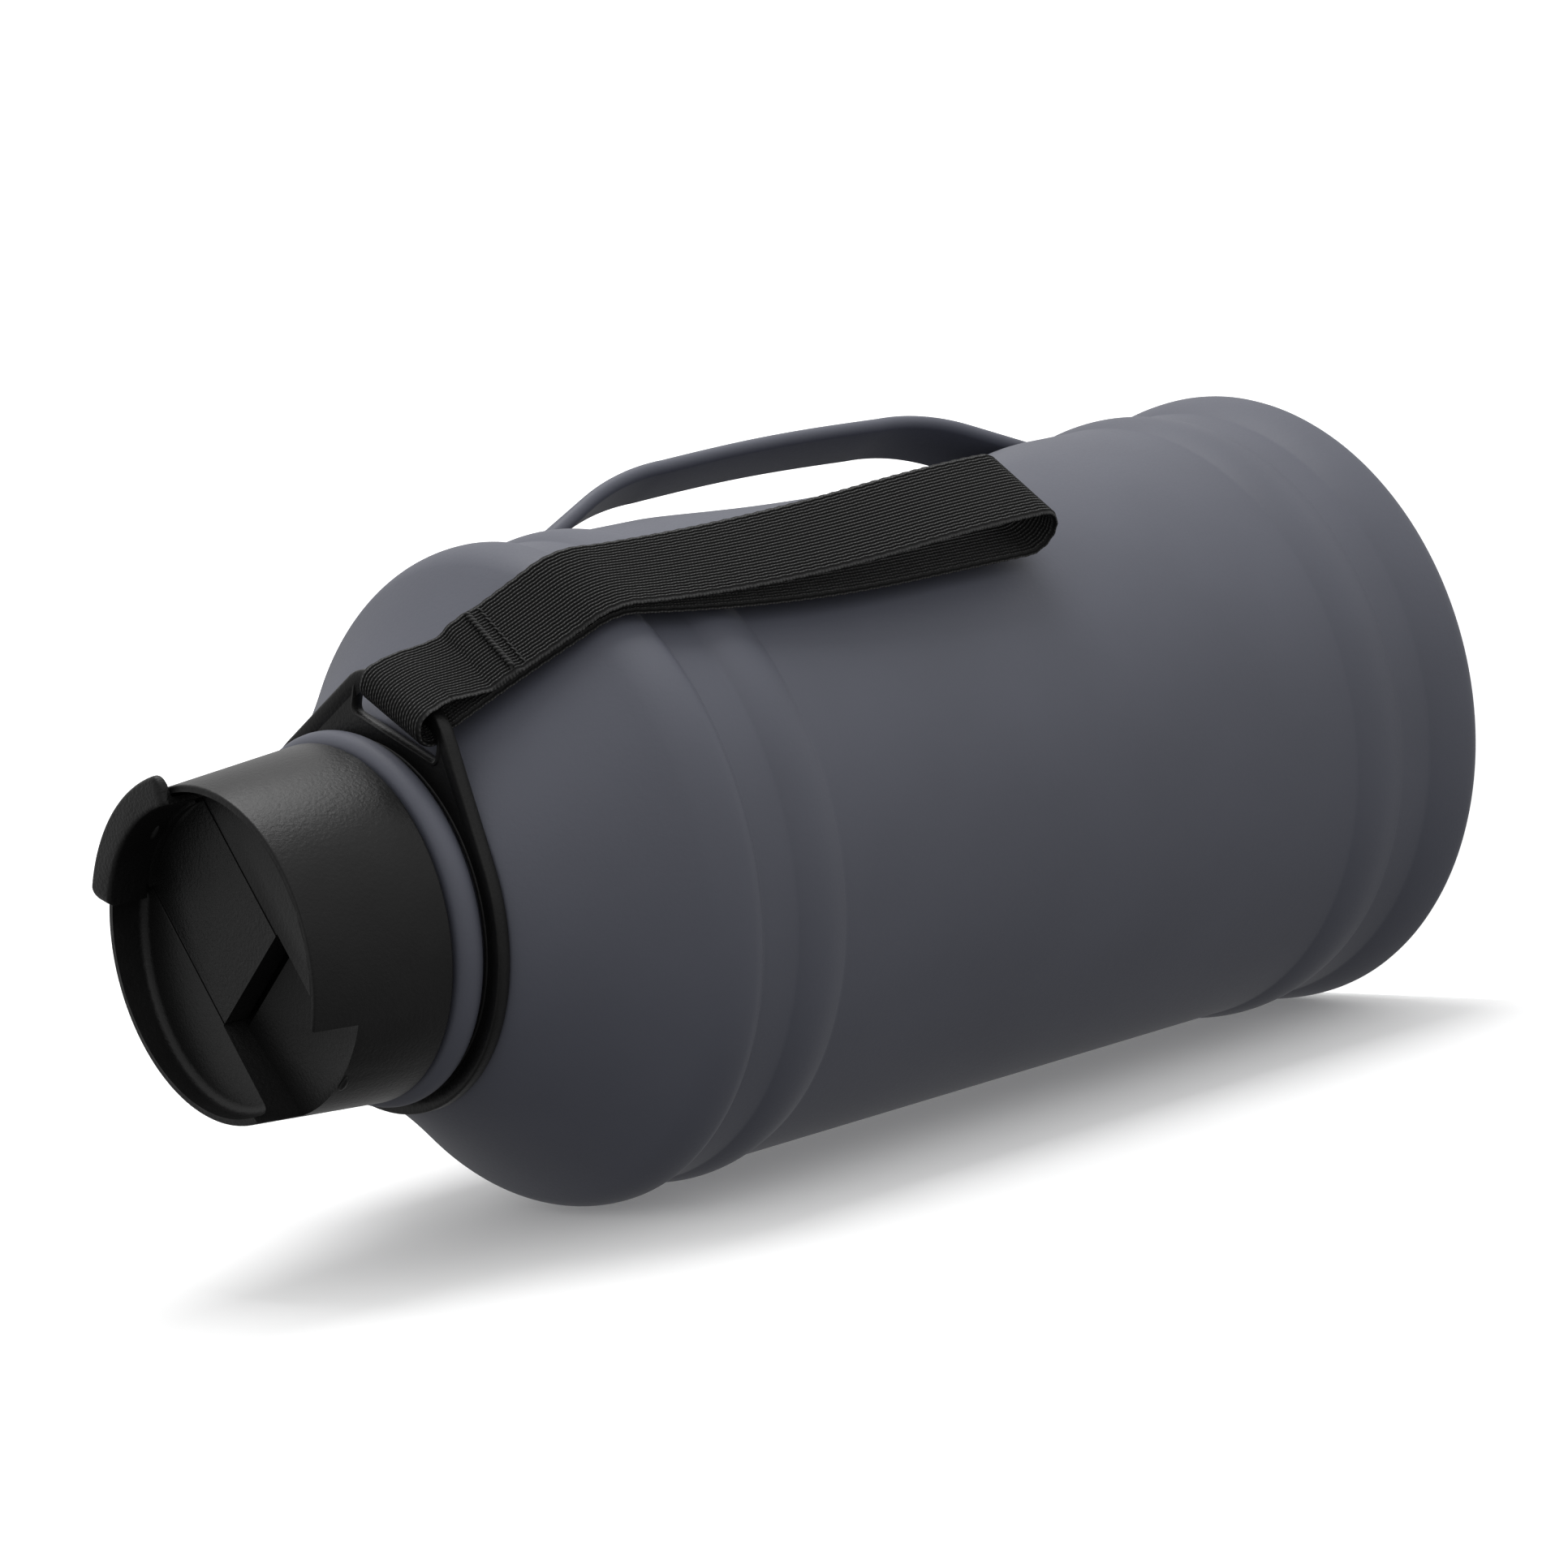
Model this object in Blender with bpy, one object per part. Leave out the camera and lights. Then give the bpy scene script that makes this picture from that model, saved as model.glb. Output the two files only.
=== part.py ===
# A large insulated steel water bottle: a ribbed body with a hand dent and a bar handle,
# a screw lid with a flip cover, and a collar that carries a webbing loop.
# Metres, +Z up along the bottle's axis, origin at the centre of the base.
# The handle stands on +X. The lid's own x axis points from its centre to its low notch.

import math

import bmesh
import bpy
from mathutils import Vector
from mathutils.geometry import tessellate_polygon

# Clearances
SEAT = 0.0003
TURN_GAP = 0.0006

# Facets round the body, the lid and small bores
BODY_SIDES = 40
RING_SIDES = 40
BORE_SIDES = 14

# Body profile, heights of the stretches from the base upwards
BULGE_PEAK_Z = 0.0065
BULGE_HEIGHT = 0.0165
LOW_FLAT_HEIGHT = 0.0080
LOW_RING_HEIGHT = 0.0135
MAIN_HEIGHT = 0.1390
HIGH_RING_HEIGHT = 0.0120
HIGH_FLAT_HEIGHT = 0.0085
DOME_EDGE_RISE = 0.0035
NECK_HEIGHT = 0.0035

# Body profile, radii, and how far the rings and ends stand out from the main wall
MAIN_R = 0.0625
BULGE_PROUD = 0.0024
RING_PROUD = 0.0014
DOME_PROUD = 0.0018
BASE_FLAT_R = 0.0530
DOME_EDGE_ROUND = 0.0125
SHOULDER_SLOPE = math.radians(48.507)
NECK_ROOT_R = 0.0370
NECK_R = 0.0323
BEAD_R = 0.0357
BEAD_ROUND = 0.0030
SHELL_WALL = 0.0008

# Hand dent under the handle
DENT_LOW_RISE = 0.0150
DENT_HEIGHT = 0.1060
DENT_DEPTH = 0.0120
DENT_HALF_ANGLE = math.radians(40)
DENT_POWER = 1.5

# Base
BASE_DISC_R = 0.0490
BASE_DISC_WALL = 0.0010
SEAL_DISC_R = 0.0070

# Inner flask
VACUUM_GAP = 0.0016
FLASK_WALL = 0.0007
FLASK_FLOOR_GAP = 0.0030
FLASK_CORNER = 0.0100
MOUTH_R = 0.0260
LIP_R = 0.0262
LIP_HEIGHT = 0.0012
MOUTH_RISE = 0.0119

# Screw thread of the mouth
THREAD_PITCH = 0.0040
THREAD_TURNS = 1.25
THREAD_HEIGHT = 0.0014
THREAD_ROOT = 0.0014
THREAD_CREST = 0.0008
THREAD_BELOW_LIP = 0.0021
THREAD_CLEARANCE = 0.0005

# Lid
LID_SEAT_GAP = 0.0010
LID_HEIGHT = 0.0297
LID_BOTTOM_R = 0.0341
LID_TOP_R = 0.0317
LID_RIM_WALL = 0.0013
LID_NOTCH_DEPTH = 0.0097
LEDGE_DEPTH = 0.0056
LEDGE_SLOPE = 0.08
LEDGE_FILLET = 0.0018
LINER_WALL = 0.0025
LINER_DISC = 0.0016
GASKET_THICK = 0.0016
GASKET_WIDTH = 0.0026
LID_TURN = math.radians(195)

# Flip cover, measured along the lid's x axis from the lid's centre
COVER_HALF_WIDTH = 0.0132
COVER_SIDE_GAP = 0.0004
NOTCH_SIDE_GAP = 0.0007
COVER_FRONT = 0.0070
COVER_HINGE_X = 0.0033
COVER_HINGE_DROP = 0.0076
COVER_UNDERSIDE = 0.0026
FRONT_GAP = 0.0016
POCKET_CLEARANCE = 0.0004
TAB_WALL = 0.0013
TAB_HALF_ANGLE = math.radians(32)
TAB_LIP_RISE = 0.0021
TAB_LIP_OUT = 0.0026
TAB_WALL_GAP = 0.0004
PIN_R = 0.00125
PIN_HALF = 0.0170
BUMP_LENGTH = 0.0021
BUMP_HEIGHT = 0.0007
BUMP_SINK = 0.0001

# Drinking hole and air hole
SPOUT_X = -0.0190
SPOUT_R = 0.0052
VENT_X = -0.0070
VENT_R = 0.0016
PLUG_INSET = 0.0006
PLUG_DIP = 0.0008
VENT_PAD_R = 0.0030

# Collar
COLLAR_TURN = math.radians(-48)
COLLAR_THICK = 0.0026
COLLAR_OUTER_R = 0.0380
EAR_REACH = 0.0465
EAR_HALF_WIDTH = 0.0165
EAR_CORNER = 0.0090
EAR_BAR = 0.0035
SLOT_WIDTH = 0.0060
SLOT_HALF_LENGTH = 0.0122

# Webbing loop
WEB_HALF_WIDTH = 0.0102
WEB_THICK = 0.0014
WEB_BAR_GAP = 0.0003
WEB_BODY_GAP = 0.0006
WEB_SEAM_START = 0.0130
WEB_SEAM_LENGTH = 0.0070
WEB_SEAM_INDEX = 4
WEB_LOOP_OPEN = 0.0085
WEB_DROP = 0.1310
WEB_SIDE_SHIFT = 0.0016
WEB_SWING = math.radians(13.3)
WEB_SWING_DROP = 0.0960

# Handle, with its distances from the main wall
GRIP_WIDTH = 0.0160
GRIP_THICK = 0.0030
GRIP_STANDOFF = 0.0120
GRIP_BEND_STANDOFF = 0.0112
GRIP_LOW_BEND_Z = 0.0645
GRIP_HIGH_BEND_Z = 0.1470
GRIP_FOOT_SINK = 0.0020
GRIP_LOW_FOOT_Z = 0.0365
GRIP_HIGH_FOOT_Z = 0.1765
GRIP_BEND_LENGTH = 0.0120

# Radii and heights that follow from the stretches
BULGE_R = MAIN_R + BULGE_PROUD
DOME_R = MAIN_R + DOME_PROUD
LOW_RING_Z = BULGE_HEIGHT + LOW_FLAT_HEIGHT
MAIN_LOW_Z = LOW_RING_Z + LOW_RING_HEIGHT
DENT_LOW_Z = MAIN_LOW_Z + DENT_LOW_RISE
HIGH_RING_Z = MAIN_LOW_Z + MAIN_HEIGHT
DOME_CORNER_Z = HIGH_RING_Z + HIGH_RING_HEIGHT + HIGH_FLAT_HEIGHT
DOME_Z = DOME_CORNER_Z + DOME_EDGE_RISE
CONE_FOOT_R = DOME_R - DOME_EDGE_ROUND * (1.0 - math.sin(SHOULDER_SLOPE))
CONE_FOOT_Z = DOME_Z + DOME_EDGE_ROUND * math.cos(SHOULDER_SLOPE)
NECK_Z = CONE_FOOT_Z + (CONE_FOOT_R - NECK_ROOT_R) * math.tan(SHOULDER_SLOPE)
BEAD_Z = NECK_Z + NECK_HEIGHT + BEAD_ROUND
SHELL_TOP_Z = BEAD_Z + BEAD_ROUND
LID_Z = SHELL_TOP_Z + LID_SEAT_GAP
MOUTH_Z = SHELL_TOP_Z + MOUTH_RISE
GASKET_Z = MOUTH_Z + SEAT
LINER_Z = GASKET_Z + GASKET_THICK + SEAT
CAP_PLATE_Z = LINER_Z + LINER_DISC + SEAT
RIM_Z = LID_Z + LID_HEIGHT
NOTCH_Z = RIM_Z - LID_NOTCH_DEPTH
HINGE_Z = RIM_Z - COVER_HINGE_DROP
COLLAR_Z = NECK_Z + NECK_HEIGHT / 2


def clear_scene():
    for old in list(bpy.data.objects):
        bpy.data.objects.remove(old, do_unlink=True)


def material(name, colour, roughness, metallic):
    mat = bpy.data.materials.new(name)
    mat.use_nodes = True
    shader = mat.node_tree.nodes["Principled BSDF"]
    shader.inputs["Base Color"].default_value = (*colour, 1.0)
    shader.inputs["Roughness"].default_value = roughness
    shader.inputs["Metallic"].default_value = metallic
    mat.diffuse_color = (*colour, 1.0)
    return mat


def empty(name, location, turn=0.0, parent=None):
    guide = bpy.data.objects.new(name, None)
    guide.location = location
    guide.rotation_euler = (0.0, 0.0, turn)
    guide.parent = parent
    bpy.context.scene.collection.objects.link(guide)
    return guide


def solid(name, verts, faces, mat=None, parent=None, location=(0.0, 0.0, 0.0)):
    """One closed mesh object whose faces point out."""
    mesh = bpy.data.meshes.new(name)
    mesh.from_pydata([tuple(v) for v in verts], [], faces)
    work = bmesh.new()
    work.from_mesh(mesh)
    bmesh.ops.recalc_face_normals(work, faces=work.faces)
    work.to_mesh(mesh)
    work.free()
    mesh.shade_smooth()
    mesh.set_sharp_from_angle(angle=math.radians(35))
    if mat is not None:
        mesh.materials.append(mat)
    piece = bpy.data.objects.new(name, mesh)
    piece.parent = parent
    piece.location = location
    bpy.context.scene.collection.objects.link(piece)
    return piece


def turned(profile, sides, radius_at=None, capped=True):
    """Vertices and faces of a profile of (radius, height) turned about Z.

    A capped one has a flat face at either end, and any other one closes on itself as a ring.
    """
    verts = []
    for radius, height in profile:
        for step in range(sides):
            angle = 2 * math.pi * step / sides
            reach = radius if radius_at is None else radius_at(radius, angle, height)
            verts.append((reach * math.cos(angle), reach * math.sin(angle), height))
    rows = [range(row * sides, (row + 1) * sides) for row in range(len(profile))]
    pairs = list(zip(rows, rows[1:]))
    faces = []
    if capped:
        faces += [tuple(rows[0]), tuple(rows[-1])]
    else:
        pairs.append((rows[-1], rows[0]))
    for low, high in pairs:
        for step in range(sides):
            following = (step + 1) % sides
            faces.append((low[step], low[following], high[following], high[step]))
    return verts, faces


def prism(outline, holes, bottom, top):
    """A plan outline with holes between two heights, each a number or a function of (x, y)."""
    loops = [outline] + list(holes)
    flat = [point for loop in loops for point in loop]
    triangles = tessellate_polygon([[Vector((x, y, 0.0)) for x, y in loop] for loop in loops])
    low = bottom if callable(bottom) else (lambda x, y: bottom)
    high = top if callable(top) else (lambda x, y: top)
    count = len(flat)
    verts = [(x, y, low(x, y)) for x, y in flat] + [(x, y, high(x, y)) for x, y in flat]
    faces = [tuple(triangle) for triangle in triangles]
    faces += [tuple(index + count for index in triangle) for triangle in triangles]
    start = 0
    for loop in loops:
        size = len(loop)
        for step in range(size):
            here = start + step
            following = start + (step + 1) % size
            faces.append((here, following, following + count, here + count))
        start += size
    return verts, faces


def arc(centre, radius, start, end, steps, second_radius=None):
    """Points on an arc, or on an ellipse's arc, with both ends."""
    other = radius if second_radius is None else second_radius
    points = []
    for step in range(steps + 1):
        angle = start + (end - start) * step / steps
        points.append((centre[0] + radius * math.cos(angle), centre[1] + other * math.sin(angle)))
    return points


def boolean(piece, operand, operation):
    operand.hide_render = True
    operand.display_type = "WIRE"
    cut = piece.modifiers.new(operand.name, "BOOLEAN")
    cut.object = operand
    cut.operation = operation
    cut.solver = "EXACT"


def rod(name, radius, low, high, sides, parent=None, location=(0.0, 0.0, 0.0), along="Z", mat=None):
    """A round bar from low to high along the parent's Z or Y axis."""
    verts, faces = turned([(radius, low), (radius, high)], sides)
    if along == "Y":
        verts = [(x, -z, y) for x, y, z in verts]
    return solid(name, verts, faces, mat, parent, location)


# Body profile


def bow(corner, peak, steps):
    """Points from a corner to a peak along a round that stands upright at the peak."""
    rise = peak[0] - corner[0]
    run = corner[1] - peak[1]
    radius = (rise * rise + run * run) / (2 * rise)
    return arc((peak[0] - radius, peak[1]), radius, math.asin(run / radius), 0.0, steps)


def ring(bottom, height):
    """The two bows of a ring that stands out of the main wall."""
    peak = (MAIN_R + RING_PROUD, bottom + height / 2)
    return bow((MAIN_R, bottom), peak, 3) + bow((MAIN_R, bottom + height), peak, 3)[-2::-1]


def shoulder(outset=0.0):
    """The dome's rounded edge and its cone up to the neck, moved out by the outset."""
    edge = DOME_EDGE_ROUND + outset
    lean = math.pi / 2 - SHOULDER_SLOPE
    points = arc((DOME_R - DOME_EDGE_ROUND, DOME_Z), edge, 0.0, lean, 4)
    foot = points[-1]
    root_r = NECK_ROOT_R + outset
    points.append((root_r, foot[1] + (foot[0] - root_r) * math.tan(SHOULDER_SLOPE)))
    return points


def body_outside():
    """The painted outside from the base's flat to the top of the neck bead."""
    points = arc((BASE_FLAT_R, BULGE_PEAK_Z), BULGE_R - BASE_FLAT_R, -math.pi / 2, 0.0, 4, BULGE_PEAK_Z)
    points += bow((MAIN_R, BULGE_HEIGHT), (BULGE_R, BULGE_PEAK_Z), 4)[-2::-1]
    points += ring(LOW_RING_Z, LOW_RING_HEIGHT)
    points += [(MAIN_R, height) for height in dent_heights()]
    points += ring(HIGH_RING_Z, HIGH_RING_HEIGHT)
    points += bow((MAIN_R, DOME_CORNER_Z), (DOME_R, DOME_Z), 3)[:-1]
    points += shoulder()
    points += [(NECK_R, NECK_Z), (NECK_R, BEAD_Z - BEAD_ROUND)]
    points += arc((BEAD_R - BEAD_ROUND, BEAD_Z), BEAD_ROUND, -math.pi / 3, math.pi / 2, 5)
    return points


def dent_heights():
    return [DENT_LOW_Z + DENT_HEIGHT * share for share in (0.0, 0.08, 0.19, 0.34, 0.5, 0.66, 0.81, 0.92, 1.0)]


def dent(angle, height):
    """Depth of the hand dent, which is centred on +X between the two rings."""
    turn = abs((angle + math.pi) % (2 * math.pi) - math.pi)
    share = (height - DENT_LOW_Z) / DENT_HEIGHT
    if turn >= DENT_HALF_ANGLE or share <= 0.0 or share >= 1.0:
        return 0.0
    across = math.cos(math.pi / 2 * turn / DENT_HALF_ANGLE) ** 2
    return DENT_DEPTH * across * math.sin(math.pi * share) ** DENT_POWER


def dented(radius, angle, height):
    return radius - dent(angle, height)


def make_outer_shell(mat):
    outside = body_outside()
    inside = [(radius - SHELL_WALL, height) for radius, height in outside if SHELL_WALL < height < DOME_Z]
    inside += shoulder(-SHELL_WALL)
    neck_r = NECK_R - SHELL_WALL
    inner_edge = MOUTH_R + SEAT
    inside += [(neck_r, NECK_Z - SHELL_WALL), (neck_r, SHELL_TOP_Z - 2 * SHELL_WALL)]
    inside += [(inner_edge, SHELL_TOP_Z - SHELL_WALL), (inner_edge, SHELL_TOP_Z)]
    bottom = [(BASE_DISC_R + SEAT, SHELL_WALL), (BASE_DISC_R + SEAT, 0.0)]
    verts, faces = turned(outside + inside[::-1] + bottom, BODY_SIDES, dented, capped=False)
    return solid("outer_shell", verts, faces, mat)


def make_base(shell_mat, seal_mat):
    hole = SEAL_DISC_R + SEAT
    ring = [(hole, 0.0), (BASE_DISC_R, 0.0), (BASE_DISC_R, BASE_DISC_WALL), (hole, BASE_DISC_WALL)]
    verts, faces = turned(ring, BODY_SIDES, capped=False)
    solid("base_plate", verts, faces, shell_mat)
    rod("vacuum_seal", SEAL_DISC_R, 0.0, BASE_DISC_WALL, BORE_SIDES, mat=seal_mat)


def thread_ridge(name, root_r, crest_r, start_z, turns, parent=None):
    """A helical ridge between two radii whose ends taper away to the root."""
    steps = round(turns * RING_SIDES)
    taper = RING_SIDES / 10
    verts = []
    for step in range(steps + 1):
        angle = 2 * math.pi * step / RING_SIDES
        height = start_z + THREAD_PITCH * step / RING_SIDES
        grown = min(1.0, (step + 0.4) / taper, (steps - step + 0.4) / taper)
        crest = root_r + (crest_r - root_r) * grown
        for radius, rise in ((root_r, -THREAD_ROOT), (crest, -THREAD_CREST), (crest, THREAD_CREST), (root_r, THREAD_ROOT)):
            verts.append((radius * math.cos(angle), radius * math.sin(angle), height + rise / 2))
    faces = [(0, 1, 2, 3), tuple(4 * steps + corner for corner in range(4))]
    for step in range(steps):
        for corner in range(4):
            following = (corner + 1) % 4
            base = 4 * step
            faces.append((base + corner, base + following, base + 4 + following, base + 4 + corner))
    return solid(name, verts, faces, parent=parent)


def flask_wall(inset):
    """The flask's side from its floor's corner to the foot of the mouth, moved in by the inset."""
    from_paint = SHELL_WALL + VACUUM_GAP + inset
    radius = MAIN_R - from_paint
    corner = FLASK_CORNER - inset
    floor = BASE_DISC_WALL + FLASK_FLOOR_GAP + inset
    points = arc((radius - corner, floor + corner), corner, -math.pi / 2, 0.0, 3)
    points += [(radius, height) for height in dent_heights()]
    edge = shoulder(-from_paint)[-2]
    top = NECK_Z - from_paint
    points.append((radius, edge[1] + (edge[0] - radius) * math.tan(SHOULDER_SLOPE)))
    points.append((edge[0] - (top - edge[1]) / math.tan(SHOULDER_SLOPE), top))
    points.append((MOUTH_R - inset, top))
    return points


def make_inner_flask(mat):
    outside = flask_wall(0.0)
    inside = flask_wall(FLASK_WALL)
    flare = LIP_R - MOUTH_R
    lip = [(MOUTH_R, MOUTH_Z - LIP_HEIGHT - flare), (LIP_R, MOUTH_Z - LIP_HEIGHT), (LIP_R, MOUTH_Z),
           (MOUTH_R - FLASK_WALL, MOUTH_Z)]
    verts, faces = turned(outside + lip + inside[::-1], BODY_SIDES, dented)
    flask = solid("inner_flask", verts, faces, mat)
    root_r = MOUTH_R - FLASK_WALL / 2
    ridge = thread_ridge("mouth_thread", root_r, MOUTH_R + THREAD_HEIGHT, thread_start(), THREAD_TURNS)
    boolean(flask, ridge, "UNION")
    return flask


def thread_start():
    return MOUTH_Z - LIP_HEIGHT - THREAD_BELOW_LIP + THREAD_ROOT / 2 - THREAD_PITCH * THREAD_TURNS


# Lid


def ledge_height(x, y=0.0):
    """The lid's sloping ledge, which falls away from the notch towards the drinking hole."""
    return RIM_Z - LEDGE_DEPTH + LEDGE_SLOPE * x


def lid_inner_r():
    return LID_TOP_R - LID_RIM_WALL


def cover_end_r():
    return lid_inner_r() - SEAT - TAB_WALL_GAP


def liner_bore_r():
    return MOUTH_R + THREAD_HEIGHT + THREAD_CLEARANCE


def liner_outer_r():
    return liner_bore_r() + LINER_WALL


def pocket_floor_z():
    reach = math.hypot(COVER_FRONT - COVER_HINGE_X, max(COVER_UNDERSIDE, ledge_height(COVER_FRONT) - HINGE_Z))
    return HINGE_Z - reach - POCKET_CLEARANCE


def pocket_outline(radius, half_width, front):
    """A straight-sided plan with a round far end on the lid's circle."""
    swing = math.asin(half_width / radius)
    return [(front, -half_width), (front, half_width)] + arc((0.0, 0.0), radius, math.pi - swing, math.pi + swing, 6)


def lid_cutters(parent):
    above = RIM_Z + 0.01
    radius = lid_inner_r()
    bowl = []
    faces = []
    rings = ((radius - LEDGE_FILLET, 0.0), (radius - 0.3 * LEDGE_FILLET, 0.3 * LEDGE_FILLET), (radius, LEDGE_FILLET))
    for ring_r, rise in rings + ((radius, None),):
        for step in range(RING_SIDES):
            angle = 2 * math.pi * step / RING_SIDES
            x = ring_r * math.cos(angle)
            y = ring_r * math.sin(angle)
            bowl.append((x, y, above if rise is None else ledge_height(x) + rise))
    for ring in range(len(rings)):
        for step in range(RING_SIDES):
            following = (step + 1) % RING_SIDES
            here = ring * RING_SIDES
            faces.append((here + step, here + following, here + RING_SIDES + following, here + RING_SIDES + step))
    faces.append(tuple(range(RING_SIDES)))
    faces.append(tuple(range(len(rings) * RING_SIDES, (len(rings) + 1) * RING_SIDES)))
    cutters = [solid("bowl_cutter", bowl, faces, parent=parent)]
    side = COVER_HALF_WIDTH + COVER_SIDE_GAP
    pocket = pocket_outline(radius - SEAT, side, COVER_FRONT + FRONT_GAP)
    cutters.append(solid("pocket_cutter", *prism(pocket, [], pocket_floor_z(), above), parent=parent))
    reach = LID_BOTTOM_R + 0.01
    side = COVER_HALF_WIDTH + NOTCH_SIDE_GAP
    notch = [(COVER_FRONT, -side), (reach, -side), (reach, side), (COVER_FRONT, side)]
    cutters.append(solid("notch_cutter", *prism(notch, [], NOTCH_Z, above + 0.001), parent=parent))
    low = CAP_PLATE_Z - 0.001
    high = pocket_floor_z() + 0.001
    cutters.append(rod("spout_cutter", SPOUT_R, low, high, BORE_SIDES, parent, (SPOUT_X, 0.0, 0.0)))
    cutters.append(rod("vent_cutter", VENT_R, low, high, BORE_SIDES, parent, (VENT_X, 0.0, 0.0)))
    reach = PIN_HALF + SEAT
    hinge = (COVER_HINGE_X, 0.0, HINGE_Z)
    cutters.append(rod("pin_cutter", PIN_R + SEAT, -reach, reach, BORE_SIDES, parent, hinge, "Y"))
    return cutters


def bump(name, parent, location):
    """A small lens that stands out of a wall, longest across the lid."""
    verts, faces = turned(arc((0.0, 0.0), 1.0, -math.pi / 3, math.pi / 3, 4), 8)
    half_height = 0.35 * BUMP_LENGTH
    depth = BUMP_HEIGHT + BUMP_SINK
    verts = [(x * depth, z * BUMP_LENGTH, y * half_height) for x, y, z in verts]
    return solid(name, verts, faces, parent=parent, location=location)


def lid_wall_r(height):
    share = (height - LID_Z) / LID_HEIGHT
    return LID_BOTTOM_R + (LID_TOP_R - LID_BOTTOM_R) * share


def tab_inner_r():
    return cover_end_r() - TAB_WALL


def bump_height_z():
    """Height of the tab's bump, which comes to lie just under the notch when the cover is flipped."""
    return 2 * HINGE_Z - NOTCH_Z + 0.001


def make_lid_cap(mat, parent):
    bore = liner_outer_r() + SEAT
    middle = (LID_Z + NOTCH_Z) / 2
    profile = [(bore, CAP_PLATE_Z), (bore, LID_Z), (LID_BOTTOM_R, LID_Z), (lid_wall_r(middle), middle), (LID_TOP_R, RIM_Z)]
    verts, faces = turned(profile, RING_SIDES)
    cap = solid("lid_cap", verts, faces, mat, parent)
    for cutter in lid_cutters(parent):
        boolean(cap, cutter, "DIFFERENCE")
    height = 2 * HINGE_Z - bump_height_z()
    catch = bump("catch_bump", parent, (lid_wall_r(height) - BUMP_SINK, 0.0, height))
    boolean(cap, catch, "UNION")
    return cap


def make_lid_liner(mat, parent):
    bore = liner_bore_r()
    outer = liner_outer_r()
    profile = [(bore, LINER_Z), (bore, LID_Z + SEAT), (outer, LID_Z + SEAT), (outer, LINER_Z + LINER_DISC)]
    verts, faces = turned(profile, RING_SIDES)
    liner = solid("lid_liner", verts, faces, mat, parent)
    start = thread_start() - THREAD_PITCH / 2
    ridge = thread_ridge("liner_thread", bore + THREAD_HEIGHT / 2, MOUTH_R + THREAD_CLEARANCE, start, THREAD_TURNS)
    boolean(liner, ridge, "UNION")
    low = LINER_Z - 0.001
    high = LINER_Z + LINER_DISC + 0.001
    boolean(liner, rod("liner_spout_cutter", SPOUT_R, low, high, BORE_SIDES, parent, (SPOUT_X, 0.0, 0.0)), "DIFFERENCE")
    boolean(liner, rod("liner_vent_cutter", VENT_R, low, high, BORE_SIDES, parent, (VENT_X, 0.0, 0.0)), "DIFFERENCE")
    return liner


def make_lid_gasket(mat):
    outer = liner_bore_r() - SEAT
    inner = outer - GASKET_WIDTH
    high = GASKET_Z + GASKET_THICK
    profile = [(inner, GASKET_Z), (outer, GASKET_Z), (outer, high), (inner, high)]
    verts, faces = turned(profile, RING_SIDES, capped=False)
    return solid("lid_gasket", verts, faces, mat)


def tab_sector(parent):
    """The cover's end wall, a sector of a ring, with a lip that reaches out over the rim."""
    inner = tab_inner_r()
    outer = cover_end_r()
    low = ledge_height(-inner * math.cos(TAB_HALF_ANGLE)) + LEDGE_FILLET / 3 + SEAT
    under_lip = RIM_Z + SEAT
    high = under_lip + TAB_LIP_RISE
    lip_r = LID_TOP_R + TAB_LIP_OUT
    corner = TAB_WALL / 2
    profile = [(inner, low), (outer, low), (outer, under_lip), (lip_r, under_lip), (lip_r, high - corner),
               (lip_r - corner, high), (inner + corner, high), (inner, high - corner)]
    steps = 8
    verts = []
    for step in range(steps + 1):
        angle = math.pi - TAB_HALF_ANGLE + 2 * TAB_HALF_ANGLE * step / steps
        verts += [(radius * math.cos(angle), radius * math.sin(angle), height) for radius, height in profile]
    size = len(profile)
    faces = [tuple(range(size)), tuple(range(steps * size, (steps + 1) * size))]
    for step in range(steps):
        for corner_index in range(size):
            following = (corner_index + 1) % size
            base = step * size
            faces.append((base + corner_index, base + following, base + size + following, base + size + corner_index))
    offset = (-COVER_HINGE_X, 0.0, -HINGE_Z)
    verts = [(x + offset[0], y, z + offset[2]) for x, y, z in verts]
    return solid("tab_wall", verts, faces, parent=parent)


def tab_root(parent):
    """A narrower block that ties the end wall down into the cover's plate."""
    outer = cover_end_r() - TAB_WALL / 8
    inner = tab_inner_r() - TAB_WALL / 2
    half = COVER_HALF_WIDTH - TAB_WALL / 2
    outer_swing = math.asin(half / outer)
    inner_swing = math.asin(half / inner)
    outline = arc((-COVER_HINGE_X, 0.0), outer, math.pi - outer_swing, math.pi + outer_swing, 5)
    outline += arc((-COVER_HINGE_X, 0.0), inner, math.pi + inner_swing, math.pi - inner_swing, 5)
    verts, faces = prism(outline, [], TAB_WALL / 2 - COVER_UNDERSIDE, TAB_WALL)
    return solid("tab_root", verts, faces, parent=parent)


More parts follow.
